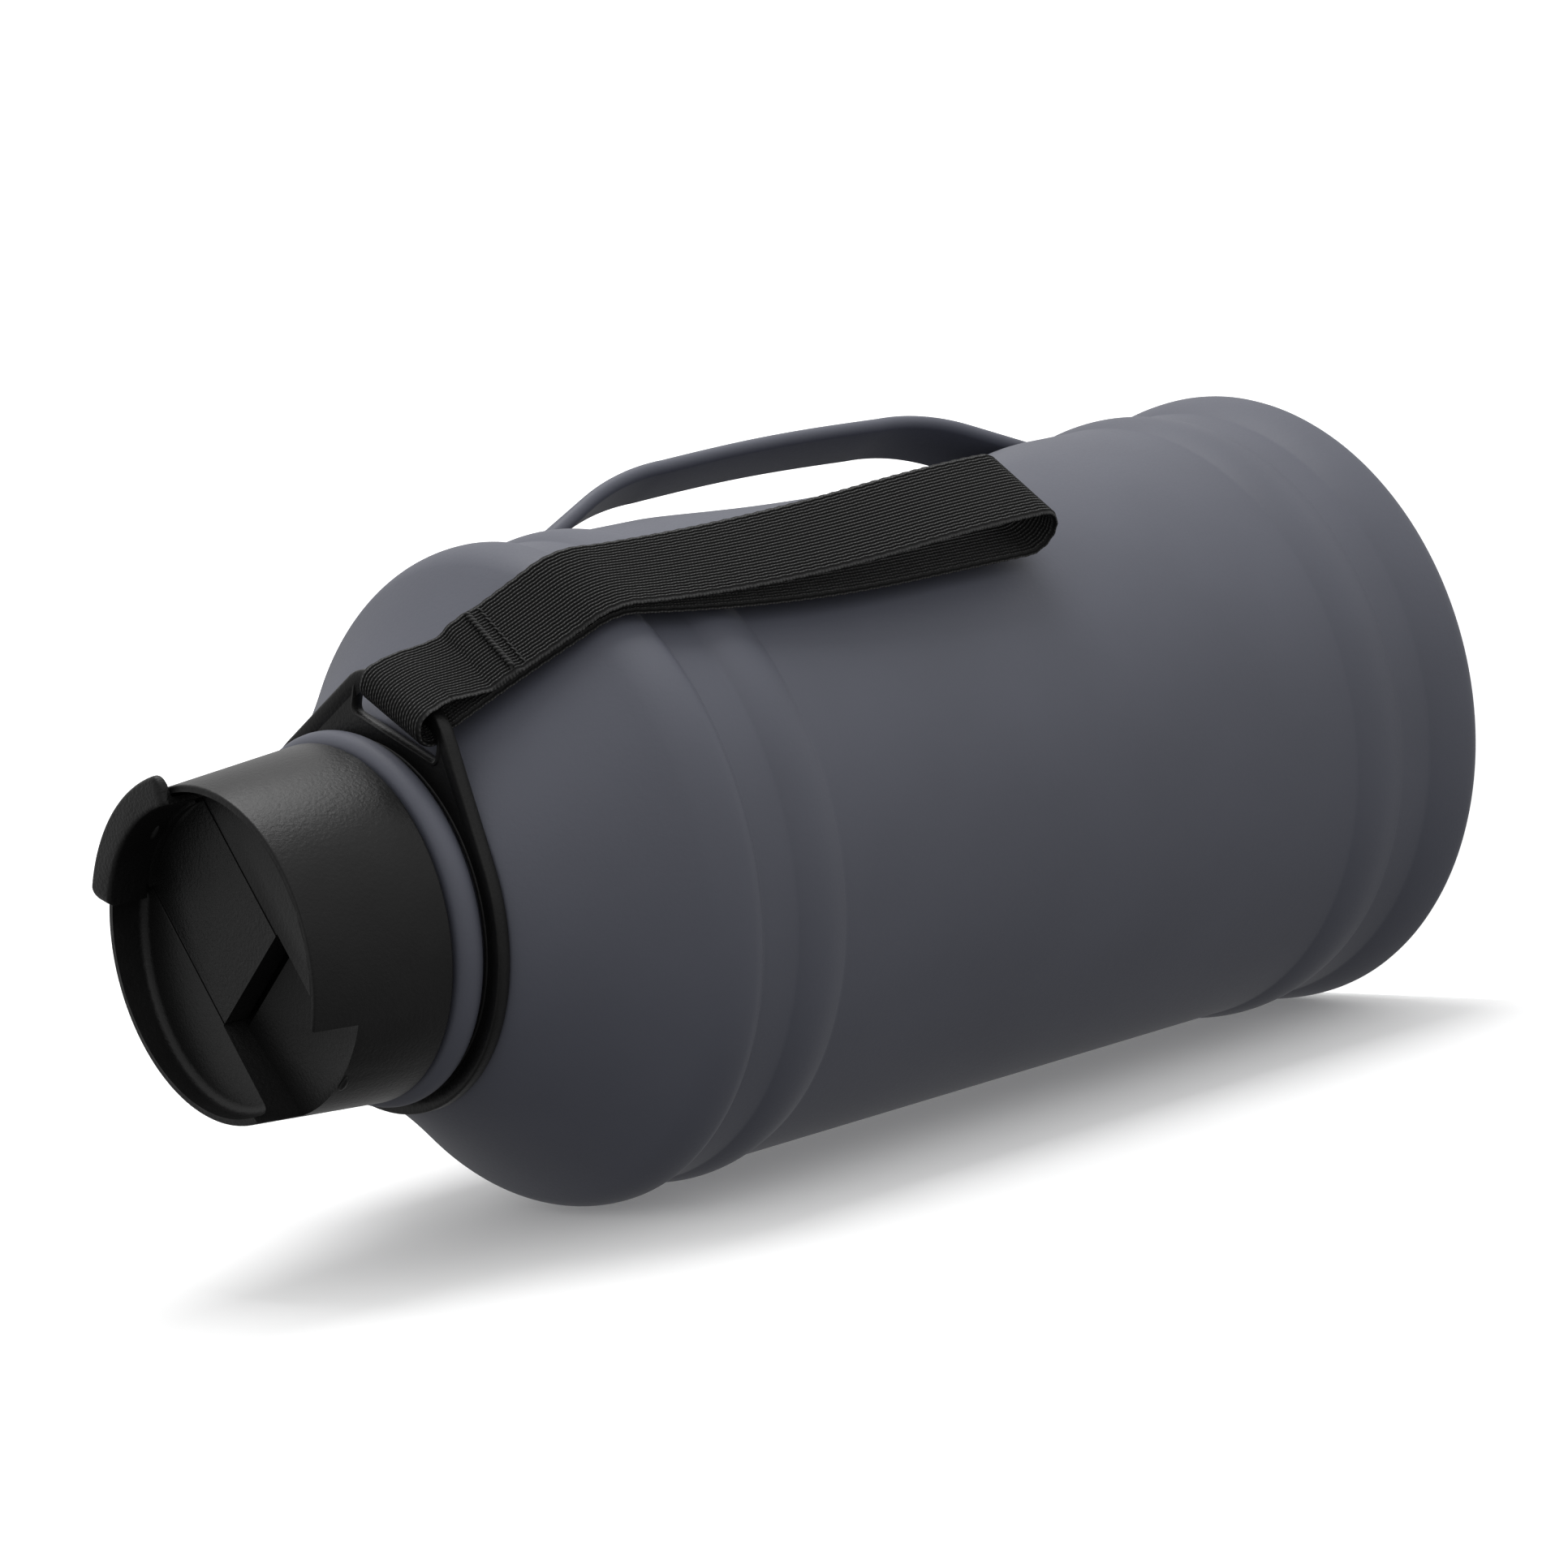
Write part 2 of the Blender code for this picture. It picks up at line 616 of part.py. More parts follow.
def make_flip_cover(mat, hinge):
    outline = pocket_outline(tab_inner_r() + TAB_WALL / 2, COVER_HALF_WIDTH, COVER_FRONT)
    shifted = [(x - COVER_HINGE_X, y) for x, y in outline]
    verts, faces = prism(shifted, [], -COVER_UNDERSIDE, lambda x, y: ledge_height(x + COVER_HINGE_X) - HINGE_Z)
    cover = solid("flip_cover", verts, faces, mat, hinge)
    boolean(cover, tab_sector(hinge), "UNION")
    boolean(cover, tab_root(hinge), "UNION")
    reach = COVER_HALF_WIDTH + 0.001
    boolean(cover, rod("cover_bore_cutter", PIN_R + SEAT, -reach, reach, BORE_SIDES, hinge, along="Y"), "DIFFERENCE")
    x = -tab_inner_r() - BUMP_SINK - COVER_HINGE_X
    boolean(cover, bump("tab_bump", hinge, (x, 0.0, bump_height_z() - HINGE_Z)), "UNION")
    return cover


def make_seals(mat, hinge):
    top = -COVER_UNDERSIDE - SEAT
    floor = pocket_floor_z() - HINGE_Z
    spout = (SPOUT_X - COVER_HINGE_X, 0.0, 0.0)
    vent = (VENT_X - COVER_HINGE_X, 0.0, 0.0)
    rod("spout_seal", SPOUT_R - PLUG_INSET, floor - PLUG_DIP, top, BORE_SIDES, hinge, spout, mat=mat)
    rod("vent_seal", VENT_PAD_R, floor + SEAT, top, BORE_SIDES, hinge, vent, mat=mat)


# Collar and webbing loop


def collar_outline():
    """The ring's circle drawn out to a bar with rounded corners."""
    corner_y = EAR_HALF_WIDTH - EAR_CORNER
    corner_x = EAR_REACH - EAR_CORNER
    span = math.hypot(corner_x, corner_y)
    tilt = math.atan2(corner_y, corner_x)
    # The side runs along the common tangent of the ring's circle and the corner's circle
    tangent = tilt + math.acos((COLLAR_OUTER_R - EAR_CORNER) / span)
    points = arc((corner_x, -corner_y), EAR_CORNER, -tangent, 0.0, 5)
    points += arc((corner_x, corner_y), EAR_CORNER, 0.0, tangent, 5)
    points += arc((0.0, 0.0), COLLAR_OUTER_R, tangent, 2 * math.pi - tangent, 28)
    return points


def make_collar(mat, parent):
    inner_r = NECK_R + TURN_GAP
    hole = arc((0.0, 0.0), inner_r, 0.0, 2 * math.pi, RING_SIDES)[:-1]
    high_x = EAR_REACH - EAR_BAR
    low_x = high_x - SLOT_WIDTH
    end = SLOT_HALF_LENGTH
    slot = [(low_x, -end), (high_x, -end), (high_x, end), (low_x, end)]
    verts, faces = prism(collar_outline(), [hole, slot], -COLLAR_THICK / 2, COLLAR_THICK / 2)
    return solid("collar", verts, faces, mat, parent)


def bar_centre_x():
    return EAR_REACH - EAR_BAR / 2


def wrap_radius():
    """Middle of the webbing where it goes round the ear's bar."""
    return math.hypot(EAR_BAR, COLLAR_THICK) / 2 + WEB_BAR_GAP + WEB_THICK / 2


def web_lift():
    """Middle of the webbing where it lies on the body."""
    return WEB_BODY_GAP + WEB_THICK / 2


def bridge_turn():
    """Which way the straight stretch between the bar and the dome's edge faces, from level."""
    run = bar_centre_x() - (DOME_R - DOME_EDGE_ROUND)
    rise = COLLAR_Z - DOME_Z
    bends = wrap_radius() + DOME_EDGE_ROUND + web_lift()
    return math.atan2(rise, run) - math.acos(bends / math.hypot(run, rise))


def lower_ply():
    """Middle line of the ply next to the body, from the bar to the tip, as (radius, height)."""
    facing = bridge_turn()
    start = (bar_centre_x() - wrap_radius() * math.cos(facing), COLLAR_Z - wrap_radius() * math.sin(facing))
    edge = arc((DOME_R - DOME_EDGE_ROUND, DOME_Z), DOME_EDGE_ROUND + web_lift(), facing, 0.0, 3)
    length = math.hypot(edge[0][0] - start[0], edge[0][1] - start[1])
    runs = [WEB_SEAM_START * step / WEB_SEAM_INDEX for step in range(WEB_SEAM_INDEX + 1)]
    runs.append(WEB_SEAM_START + WEB_SEAM_LENGTH)
    points = [(start[0] + (edge[0][0] - start[0]) * run / length, start[1] + (edge[0][1] - start[1]) * run / length)
              for run in runs]
    points += edge
    rest_r = max(DOME_R, MAIN_R + RING_PROUD) + web_lift()
    tip_z = COLLAR_Z - WEB_DROP
    stretch = 8
    points += [(rest_r, DOME_Z + (tip_z - DOME_Z) * step / stretch) for step in range(1, stretch + 1)]
    return points


def offsets(points, distances):
    """Points moved sideways off a polyline, outwards from the body where the distance is positive."""
    moved = []
    for index, (x, z) in enumerate(points):
        before = points[max(index - 1, 0)]
        after = points[min(index + 1, len(points) - 1)]
        run = math.hypot(after[0] - before[0], after[1] - before[1])
        side = (-(after[1] - before[1]) / run, (after[0] - before[0]) / run)
        moved.append((x + side[0] * distances[index], z + side[1] * distances[index]))
    return moved


def ply_gaps(points):
    """Distance between the two plies' middle lines at each point of the lower ply."""
    runs = [0.0]
    for before, after in zip(points, points[1:]):
        runs.append(runs[-1] + math.hypot(after[0] - before[0], after[1] - before[1]))
    seam_end = WEB_SEAM_START + WEB_SEAM_LENGTH
    gaps = []
    for run in runs:
        near_bar = max(0.0, 1.0 - run / WEB_SEAM_START)
        in_loop = max(0.0, (run - seam_end) / (runs[-1] - seam_end))
        gaps.append(WEB_THICK + (2 * wrap_radius() - WEB_THICK) * near_bar + WEB_LOOP_OPEN * in_loop ** 2 * (3 - 2 * in_loop))
    return gaps


def swung(x, y, z):
    """A point of the webbing as seen from the ear's bar, once it has swung round the body on its way down."""
    fall = COLLAR_Z - wrap_radius() - z
    share = min(1.0, max(0.0, fall / WEB_SWING_DROP))
    turn = -WEB_SWING * (1.0 - (1.0 - share) ** 2)
    along = x * math.cos(turn) - y * math.sin(turn)
    across = x * math.sin(turn) + y * math.cos(turn)
    return (along - bar_centre_x(), across, z - COLLAR_Z)


def make_strap(mat, parent):
    lower = lower_ply()
    gaps = ply_gaps(lower)
    half = WEB_THICK / 2
    count = len(lower)
    under_face = offsets(lower, [-half] * count)
    lower_top = offsets(lower, [half] * count)
    upper_low = offsets(lower, [gap - half for gap in gaps])
    upper_face = offsets(lower, [gap + half for gap in gaps])
    first = WEB_SEAM_INDEX
    last = first + 1
    bar = (bar_centre_x(), COLLAR_Z)
    wrap = wrap_radius()
    facing = bridge_turn()
    tip = ((lower[-1][0] + gaps[-1] / 2), lower[-1][1])
    outline = upper_face[1:]
    outline += arc(tip, gaps[-1] / 2 + half, 0.0, -math.pi, 8)
    outline += under_face[::-1][:-1]
    outline += arc(bar, wrap + half, facing - math.pi, facing - 2 * math.pi, 8)
    bar_hole = upper_low[1:first] + [lower_top[first]] + lower_top[1:first][::-1]
    bar_hole += arc(bar, wrap - half, facing - math.pi, facing - 2 * math.pi, 6)
    loop_hole = [lower_top[last]] + upper_low[last + 1:]
    loop_hole += arc(tip, gaps[-1] / 2 - half, 0.0, -math.pi, 6) + lower_top[last + 1:][::-1]
    verts, faces = prism(outline, [bar_hole, loop_hole], -WEB_HALF_WIDTH, WEB_HALF_WIDTH)
    # The profile was drawn flat: its second axis becomes height, and its width lies across the ear
    verts = [swung(x, -y - WEB_SIDE_SHIFT, z) for x, z, y in verts]
    return solid("strap", verts, faces, mat, parent)


# Handle


def handle_line():
    """Middle line of the bar from the low foot to the high foot, as (x, height)."""
    foot_reach = MAIN_R - GRIP_FOOT_SINK
    bend_reach = MAIN_R + GRIP_BEND_STANDOFF
    corners = [(foot_reach, GRIP_LOW_FOOT_Z), (bend_reach, GRIP_LOW_BEND_Z),
               (bend_reach, GRIP_HIGH_BEND_Z), (foot_reach, GRIP_HIGH_FOOT_Z)]
    points = [corners[0]]
    for before, corner, after in zip(corners, corners[1:], corners[2:]):
        ends = []
        for other in (before, after):
            run = math.hypot(other[0] - corner[0], other[1] - corner[1])
            share = GRIP_BEND_LENGTH / run
            ends.append((corner[0] + (other[0] - corner[0]) * share, corner[1] + (other[1] - corner[1]) * share))
        for step in range(5):
            share = step / 4
            weights = ((1 - share) ** 2, 2 * share * (1 - share), share ** 2)
            points.append(tuple(weights[0] * ends[0][axis] + weights[1] * corner[axis] + weights[2] * ends[1][axis]
                                for axis in range(2)))
        if corner is corners[1]:
            middle = len(points)
    points.append(corners[-1])
    # The grip bows out a little between its bends
    low = points[middle - 1]
    high = points[middle]
    bulge = GRIP_STANDOFF - GRIP_BEND_STANDOFF
    grip = []
    for step in range(1, 4):
        share = step / 4
        grip.append((low[0] + bulge * math.sin(math.pi * share), low[1] + (high[1] - low[1]) * share))
    return points[:middle] + grip + points[middle:]


def make_handle(mat):
    line = handle_line()
    outer = offsets(line, [-GRIP_THICK / 2] * len(line))
    inner = offsets(line, [GRIP_THICK / 2] * len(line))
    # The line is drawn in x and height, and is extruded across the bar's width
    half = GRIP_WIDTH / 2
    verts, faces = prism(outer + inner[::-1], [], -half, half)
    verts = [(x, -y, z) for x, z, y in verts]
    handle = solid("handle", verts, faces, mat)
    edge = handle.modifiers.new("edge", "BEVEL")
    edge.width = GRIP_THICK / 4
    edge.segments = 2
    edge.limit_method = "ANGLE"
    edge.angle_limit = math.radians(60)
    profile = [(radius + SEAT, height) for radius, height in body_outside() if BULGE_PEAK_Z <= height <= DOME_Z]
    verts, faces = turned(profile, BODY_SIDES, dented)
    boolean(handle, solid("body_clearance", verts, faces), "DIFFERENCE")
    return handle


def build():
    clear_scene()
    paint = material("grey_paint", (0.085, 0.090, 0.108), 0.55, 0.0)
    steel = material("brushed_steel", (0.60, 0.60, 0.60), 0.32, 1.0)
    plastic = material("black_plastic", (0.018, 0.018, 0.019), 0.45, 0.0)
    silicone = material("grey_silicone", (0.30, 0.30, 0.31), 0.6, 0.0)
    webbing = material("black_webbing", (0.012, 0.012, 0.012), 0.85, 0.0)

    make_outer_shell(paint)
    make_base(paint, steel)
    make_inner_flask(steel)
    make_handle(paint)

    collar_axis = empty("collar_axis", (0.0, 0.0, COLLAR_Z), COLLAR_TURN)
    make_collar(plastic, collar_axis)
    ear_bar = empty("ear_bar", (bar_centre_x(), 0.0, 0.0), 0.0, collar_axis)
    make_strap(webbing, ear_bar)

    lid_axis = empty("lid_axis", (0.0, 0.0, 0.0), LID_TURN)
    make_lid_cap(plastic, lid_axis)
    make_lid_liner(plastic, lid_axis)
    make_lid_gasket(silicone)
    cover_hinge = empty("cover_hinge", (COVER_HINGE_X, 0.0, HINGE_Z), 0.0, lid_axis)
    rod("hinge_pin", PIN_R, -PIN_HALF, PIN_HALF, BORE_SIDES, cover_hinge, along="Y", mat=steel)
    make_flip_cover(plastic, cover_hinge)
    make_seals(silicone, cover_hinge)


build()
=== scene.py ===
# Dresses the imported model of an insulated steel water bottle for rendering.
# Metres, +Z up along the bottle's axis, origin at the centre of the base, handle on +X.

import math

import bmesh
import bpy
from mathutils import Matrix, Vector
from mathutils.geometry import tessellate_polygon


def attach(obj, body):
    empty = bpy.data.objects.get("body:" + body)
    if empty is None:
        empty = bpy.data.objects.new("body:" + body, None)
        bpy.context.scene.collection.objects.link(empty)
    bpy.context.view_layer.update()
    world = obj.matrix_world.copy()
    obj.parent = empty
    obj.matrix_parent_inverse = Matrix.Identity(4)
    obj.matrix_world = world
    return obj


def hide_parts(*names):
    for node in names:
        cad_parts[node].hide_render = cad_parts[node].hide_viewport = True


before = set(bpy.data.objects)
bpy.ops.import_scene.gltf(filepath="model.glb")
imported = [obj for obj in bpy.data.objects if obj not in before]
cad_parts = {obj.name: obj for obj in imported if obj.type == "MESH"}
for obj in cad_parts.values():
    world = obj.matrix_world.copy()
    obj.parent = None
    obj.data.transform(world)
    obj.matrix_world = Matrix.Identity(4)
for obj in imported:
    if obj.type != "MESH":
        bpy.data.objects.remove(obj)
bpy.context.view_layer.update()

# The camera, as its place and the directions that it looks along and holds upright
EYE = Vector((-0.217218, -0.810659, 0.832423))
FORWARD = Vector((0.203957, 0.741626, -0.639056)).normalized()
UPRIGHT = Vector((0.896071, -0.404334, -0.183224)).normalized()
LENS = 126.383
SENSOR = 36.0

# Body
MAIN_R = 0.0625
BULGE_R = 0.0649
RING_PROUD = 0.0014
DOME_R = 0.0643
BASE_FLAT_R = 0.0530
BASE_HOLE_R = 0.0493
BULGE_PEAK_Z = 0.0065
BULGE_TOP_Z = 0.0165
LOW_RING_Z = 0.0245
LOW_RING_HEIGHT = 0.0135
HIGH_RING_Z = 0.1770
HIGH_RING_HEIGHT = 0.0120
DOME_CORNER_Z = 0.1975
DOME_Z = 0.2010
DOME_ROUND = 0.0125
CONE_SLOPE = math.radians(48.507)
CONE_SAG = 0.0007
NECK_ROOT_R = 0.0370
NECK_Z = 0.2366
NECK_R = 0.0323
BEAD_R = 0.0357
BEAD_ROUND = 0.0030
BEAD_Z = 0.2431
SHELL_TOP_Z = 0.2461
SHELL_WALL = 0.0008
MOUTH_HOLE_R = 0.0263
DENT_LOW_Z = 0.0530
DENT_HEIGHT = 0.1060
DENT_DEPTH = 0.0120
DENT_HALF_ANGLE = math.radians(40)
DENT_POWER = 1.5
DENT_STEPS = 52
CONE_STEPS = 16
SKIN_CORNER = 0.0007
SHELL_SIDES = 224

# Collar and webbing
COLLAR_TURN = math.radians(-48)
COLLAR_Z = 0.23835
COLLAR_THICK = 0.0026
COLLAR_HOLE_R = 0.0329
COLLAR_OUTER_R = 0.0380
EAR_REACH = 0.0465
EAR_HALF_WIDTH = 0.0165
EAR_CORNER = 0.0090
EAR_BAR = 0.0035
SLOT_WIDTH = 0.0060
SLOT_HALF_LENGTH = 0.0122
SLOT_CORNER = 0.0009
COLLAR_SIDES = 128
FLAT_INSET = 0.0010
FLAT_SINK = 0.0004
SLOT_GROW = 0.0004
HOLE_GAP = 0.0002
HOLE_LIP_R = 0.0007
RIM_SWELL = 1.06
# The rim and the slot's lip, as (distance from the edge, share of the half thickness)
RIM_SECTION = [(0.0000, 0.0), (0.0000, 0.70), (0.00012, 0.88), (0.0004, 0.98), (0.0007, 1.0),
               (0.0014, 0.98), (0.0020, 0.90), (0.0027, 0.74), (0.0034, 0.58), (0.0038, 0.50)]
LIP_SECTION = [(0.0001, 0.0), (0.0002, 0.7), (0.0005, 0.95), (0.0009, 0.92), (0.0012, 0.6)]
WEB_HALF_WIDTH = 0.0102
WEB_RIBS = 23
RIB_STEPS = 6
RIB_DEPTH = 0.00026
WEB_EDGE_R = 0.0006
WEB_LOOSE = 0.0020
WEB_THICK = 0.0014
WEB_BAR_GAP = 0.0003
WEB_BODY_GAP = 0.0006
WRAP_R = math.hypot(EAR_BAR, COLLAR_THICK) / 2 + WEB_BAR_GAP + WEB_THICK / 2
WEB_DROP = 0.1310
LOOP_OPEN = 0.0085
SIDE_SHIFT = 0.0016
SWING = math.radians(13.3)
SWING_DROP = 0.0960
SLOPE_STEPS = 44
WALL_STEPS = 130
BAR_STEPS = 18
EDGE_WAVE = 0.00010
EDGE_WAVE_LENGTH = 0.0026
SEAM_START = 0.0130
SEAM_LENGTH = 0.0070
WELT_RISE = 0.0005
SEAM_MARGIN = 0.0012
CORD_INSET = 0.0018
CORD_STEPS = 180
STRAND_R = 0.00034
STRAND_TWIST = 0.0021
STITCH_GAP = 0.0030
STITCH_COUNT = 11
STITCH_STEPS = 6
STITCH_R = 0.00021
STITCH_LENGTH = 0.0015
STITCH_RISE = 0.00030
STITCH_SINK = 0.00020
STITCH_SLANT = 0.0004

# Handle
GRIP_WIDTH = 0.0160
GRIP_THICK = 0.0030
GRIP_STANDOFF = 0.0120
BEND_STANDOFF = 0.0112
FOOT_SINK = 0.0020
LOW_BEND_Z = 0.0645
HIGH_BEND_Z = 0.1470
LOW_FOOT_Z = 0.0365
HIGH_FOOT_Z = 0.1765
BEND_LENGTH = 0.0120
LEG_STEPS = 8
BEND_STEPS = 14
GRIP_STEPS = 24
WELD_R = 0.0008
WELD_STEPS = 48
WELD_MARGIN = 0.0002
WELD_HALF_HEIGHT = GRIP_THICK * 1.75
WELD_SHIFT = 0.0050
WELD_SINK = 0.0003

# Lid, with its own x axis from its centre to its low notch
LID_TURN = math.radians(195)
LID_Z = 0.2471
RIM_Z = 0.2768
LID_BOTTOM_R = 0.0341
LID_TOP_R = 0.0317
LID_INNER_R = 0.0304
CAP_PLATE_Z = 0.2621
CAP_BORE_R = 0.0307
POCKET_FLOOR_Z = 0.2643
NOTCH_Z = 0.2671
HINGE_X = 0.0033
HINGE_Z = 0.2692
LEDGE_DEPTH = 0.0056
LEDGE_SLOPE = 0.08
LEDGE_FILLET = 0.0018
FILLET_STEPS = 8
LID_SIDES = 144
LID_CORNER = 0.0005
COVER_HALF_WIDTH = 0.0132
COVER_FRONT = 0.0070
COVER_UNDERSIDE = 0.0026
TAB_INNER_R = 0.0284
TAB_OUTER_R = 0.0297
TAB_HALF_ANGLE = math.radians(32)
TAB_LIP_R = 0.0343
TAB_LIP_RISE = 0.0021
TAB_GAP = 0.0003
TAB_CORNER = 0.0009
TAB_STEPS = 96
TAB_END_START = 0.88
TAB_END_DRAW = 0.75
TAB_END_DROP = 0.0011
ROOT_REACH = 0.0006
ROOT_GAP = 0.0002
ROOT_TOP = 0.0013
PIN_R = 0.00125
PIN_GAP = 0.0003
PIN_BORE_HALF = 0.0173
SPOUT_X = -0.0190
SPOUT_R = 0.0052
VENT_X = -0.0070
VENT_R = 0.0016
BUMP_LENGTH = 0.0021
BUMP_HEIGHT = 0.0007
BUMP_SINK = 0.0001
BUMP_ASPECT = 0.35
CATCH_DROP = 0.0010
CAP_EDGE = 0.00045
COVER_EDGE = 0.0004
POCKET_WALL = 0.0003
POCKET_SIDE_GAP = 0.0004
POCKET_FRONT_GAP = 0.0016
NOTCH_SIDE_GAP = 0.0007
OVERCUT = 0.001
CUT_TOP_Z = RIM_Z + 0.01
CUT_REACH = LID_BOTTOM_R + 0.01

# Colours
PAINT_DARK = (0.073, 0.0767, 0.0975)
PAINT_LIGHT = (0.0795, 0.0835, 0.1060)
PLASTIC_DARK = (0.0045, 0.0045, 0.0045)
LID_LIGHT = (0.0065, 0.0065, 0.0065)
COLLAR_LIGHT = (0.0065, 0.0065, 0.0064)
COVER_LIGHT = (0.0070, 0.0070, 0.0070)
LINER_DARK = (0.020, 0.020, 0.021)
LINER_LIGHT = (0.028, 0.028, 0.029)
SILICONE_DARK = (0.25, 0.25, 0.26)
SILICONE_LIGHT = (0.31, 0.31, 0.32)
THREAD_DARK = (0.004, 0.004, 0.004)
THREAD_LIGHT = (0.018, 0.018, 0.0176)
CARD_DARK = (0.89, 0.89, 0.89)
CARD_LIGHT = (0.91, 0.91, 0.91)
WHITE = (1.0, 1.0, 1.0, 1.0)
# Painted shade in the grooves between the webbing's ribs, rising to a painted highlight on the tops of its
# yarns
WEB_PAINTED_SHADE_TO_HIGHLIGHT = [(0.0, (0.0006, 0.0006, 0.0006)), (0.35, (0.005, 0.005, 0.005)),
              (0.70, (0.032, 0.032, 0.0315)), (1.0, (0.080, 0.080, 0.079))]
RIB_WAVE = (0.0, 1.0, 0.0)
YARN_WAVE = (1.25, 0.5, 0.0)

# Studio
MIDDLE = Vector((0.0, 0.0, 0.13))
KEY_SIZE = 0.58
KEY_POWER = 5.1
KEY_UP = 0.88
KEY_BACK = 0.02
KEY_LEFT = 0.15
FILL_SIZE = 0.8
FILL_POWER = 0.6
FILL_FRONT = 1.0
FILL_UP = 0.3
WORLD_LOW = 0.10
WORLD_HIGH = 1.12
CARD_HALF = 2.5
CARD_MIDDLE_Z = 0.12
CARD_GAP = 0.0003
CARD_GLOW = 0.14
FLOOR_DROP = 0.0002
FLOOR_GLOW = 0.95

# A polyline's corner that turns by less than this isn't rounded off
LEAST_CORNER = math.radians(12)


# Mesh helpers


def piece(name, verts, faces, mat=None, sharp=35):
    """One mesh object whose faces point out and shade smooth below the sharp angle."""
    mesh = bpy.data.meshes.new(name)
    mesh.from_pydata([tuple(v) for v in verts], [], faces)
    work = bmesh.new()
    work.from_mesh(mesh)
    bmesh.ops.recalc_face_normals(work, faces=work.faces)
    work.to_mesh(mesh)
    work.free()
    mesh.shade_smooth()
    mesh.set_sharp_from_angle(angle=math.radians(sharp))
    if mat is not None:
        mesh.materials.append(mat)
    made = bpy.data.objects.new(name, mesh)
    bpy.context.scene.collection.objects.link(made)
    return made


def arc(centre, radius, start, end, steps, second_radius=None):
    """Points on an arc, or on an ellipse's arc, with both ends."""
    other = second_radius or radius
    points = []
    for step in range(steps + 1):
        angle = start + (end - start) * step / steps
        points.append((centre[0] + radius * math.cos(angle), centre[1] + other * math.sin(angle)))
    return points


def shares(steps):
    """Even shares from 0 to 1, with both ends."""
    return [step / steps for step in range(steps + 1)]


def between(first, last, share):
    """The point at a share of the way from one point to another, in two axes."""
    return (first[0] + (last[0] - first[0]) * share, first[1] + (last[1] - first[1]) * share)


def softened(points, reach, steps=4, closed=False):
    """The polyline with each clear corner rounded off."""
    count = len(points)
    made = []
    for index, here in enumerate(points):
        if not closed and index in (0, count - 1):
            made.append(here)
            continue
        corner = Vector(here)
        back = Vector(points[index - 1]) - corner
        on = Vector(points[(index + 1) % count]) - corner
        if back.length < 1e-9 or on.length < 1e-9 or (-back).angle(on) < LEAST_CORNER:
            made.append(here)
            continue
        first = corner + back.normalized() * min(reach, back.length * 0.45)
        last = corner + on.normalized() * min(reach, on.length * 0.45)
        for share in shares(steps):
            rest = 1 - share
            made.append(tuple(first * rest ** 2 + corner * 2 * share * rest + last * share ** 2))
    return made


def lofted(rings, looped=False):
    """Closed loops of equal size joined one after the other, with flat ends or back to the first."""
    size = len(rings[0])
    last = (len(rings) - 1) * size
    verts = [point for ring in rings for point in ring]
    faces = [] if looped else [tuple(range(size)), tuple(range(last, last + size))]
    starts = [(low, low + size) for low in range(0, last, size)]
    if looped:
        starts.append((last, 0))
    for low, high in starts:
        for step in range(size):
            following = (step + 1) % size
            faces.append((low + step, low + following, high + following, high + step))
    return verts, faces


def turned(profile, sides, radius_at=None, looped=False):
    """A profile of (radius, height) turned about Z, with flat ends or closed on itself as a ring."""
    rings = []
    for radius, height in profile:
        ring = []
        for step in range(sides):
            angle = 2 * math.pi * step / sides
            reach = radius if radius_at is None else radius_at(radius, angle, height)
            ring.append((reach * math.cos(angle), reach * math.sin(angle), height))
        rings.append(ring)
    return lofted(rings, looped)


def prism(outline, holes, bottom, top):
    """A plan outline with holes from a height up to another, or up to a function of (x, y)."""
    loops = [outline] + list(holes)
    flat = [point for loop in loops for point in loop]
    triangles = tessellate_polygon([[Vector((x, y, 0.0)) for x, y in loop] for loop in loops])
    high = top if callable(top) else (lambda x, y: top)
    count = len(flat)
    verts = [(x, y, bottom) for x, y in flat] + [(x, y, high(x, y)) for x, y in flat]
    faces = [tuple(triangle) for triangle in triangles]
    faces += [tuple(index + count for index in triangle) for triangle in triangles]
    start = 0
    for loop in loops:
        size = len(loop)
        for step in range(size):
            here = start + step
            following = start + (step + 1) % size
            faces.append((here, following, following + count, here + count))
        start += size
    return verts, faces


def joined(parts):
    """Several sets of vertices and faces as one."""
    verts = []
    faces = []
    for part_verts, part_faces in parts:
        offset = len(verts)
        verts += list(part_verts)
        faces += [tuple(index + offset for index in face) for face in part_faces]
    return verts, faces


def carved(name, shape, steps, mat, edge, sharp=35):
    """A shape cut by and joined with others, with its edges rounded, as one plain mesh."""
    body = piece(name, *shape)
    helpers = []
    for operation, operand in steps:
        helper = piece(name + "_helper", *operand)
        helpers.append(helper)
        change = body.modifiers.new("change", "BOOLEAN")
        change.object = helper
        change.operation = operation
        change.solver = "EXACT"
    # Level faces become whole again before their edges are rounded
    whole = body.modifiers.new("whole", "DECIMATE")
    whole.decimate_type = "DISSOLVE"
    whole.angle_limit = math.radians(0.2)
    rounding = body.modifiers.new("rounding", "BEVEL")
    rounding.width = edge
    rounding.segments = 3
    rounding.limit_method = "ANGLE"
    rounding.angle_limit = math.radians(38)
    bpy.context.view_layer.update()
    result = bpy.data.meshes.new_from_object(body.evaluated_get(bpy.context.evaluated_depsgraph_get()))
    body.modifiers.clear()
    body.data = result
    result.materials.clear()
    result.materials.append(mat)
    result.shade_smooth()
    for polygon in result.polygons:
        polygon.material_index = 0
        # Broad level faces stay flat, so the rounded edges don't bend their shading
        polygon.use_smooth = abs(polygon.normal.z) < 0.90
    result.set_sharp_from_angle(angle=math.radians(sharp))
    for helper in helpers:
        bpy.data.objects.remove(helper, do_unlink=True)
    return body


# Materials


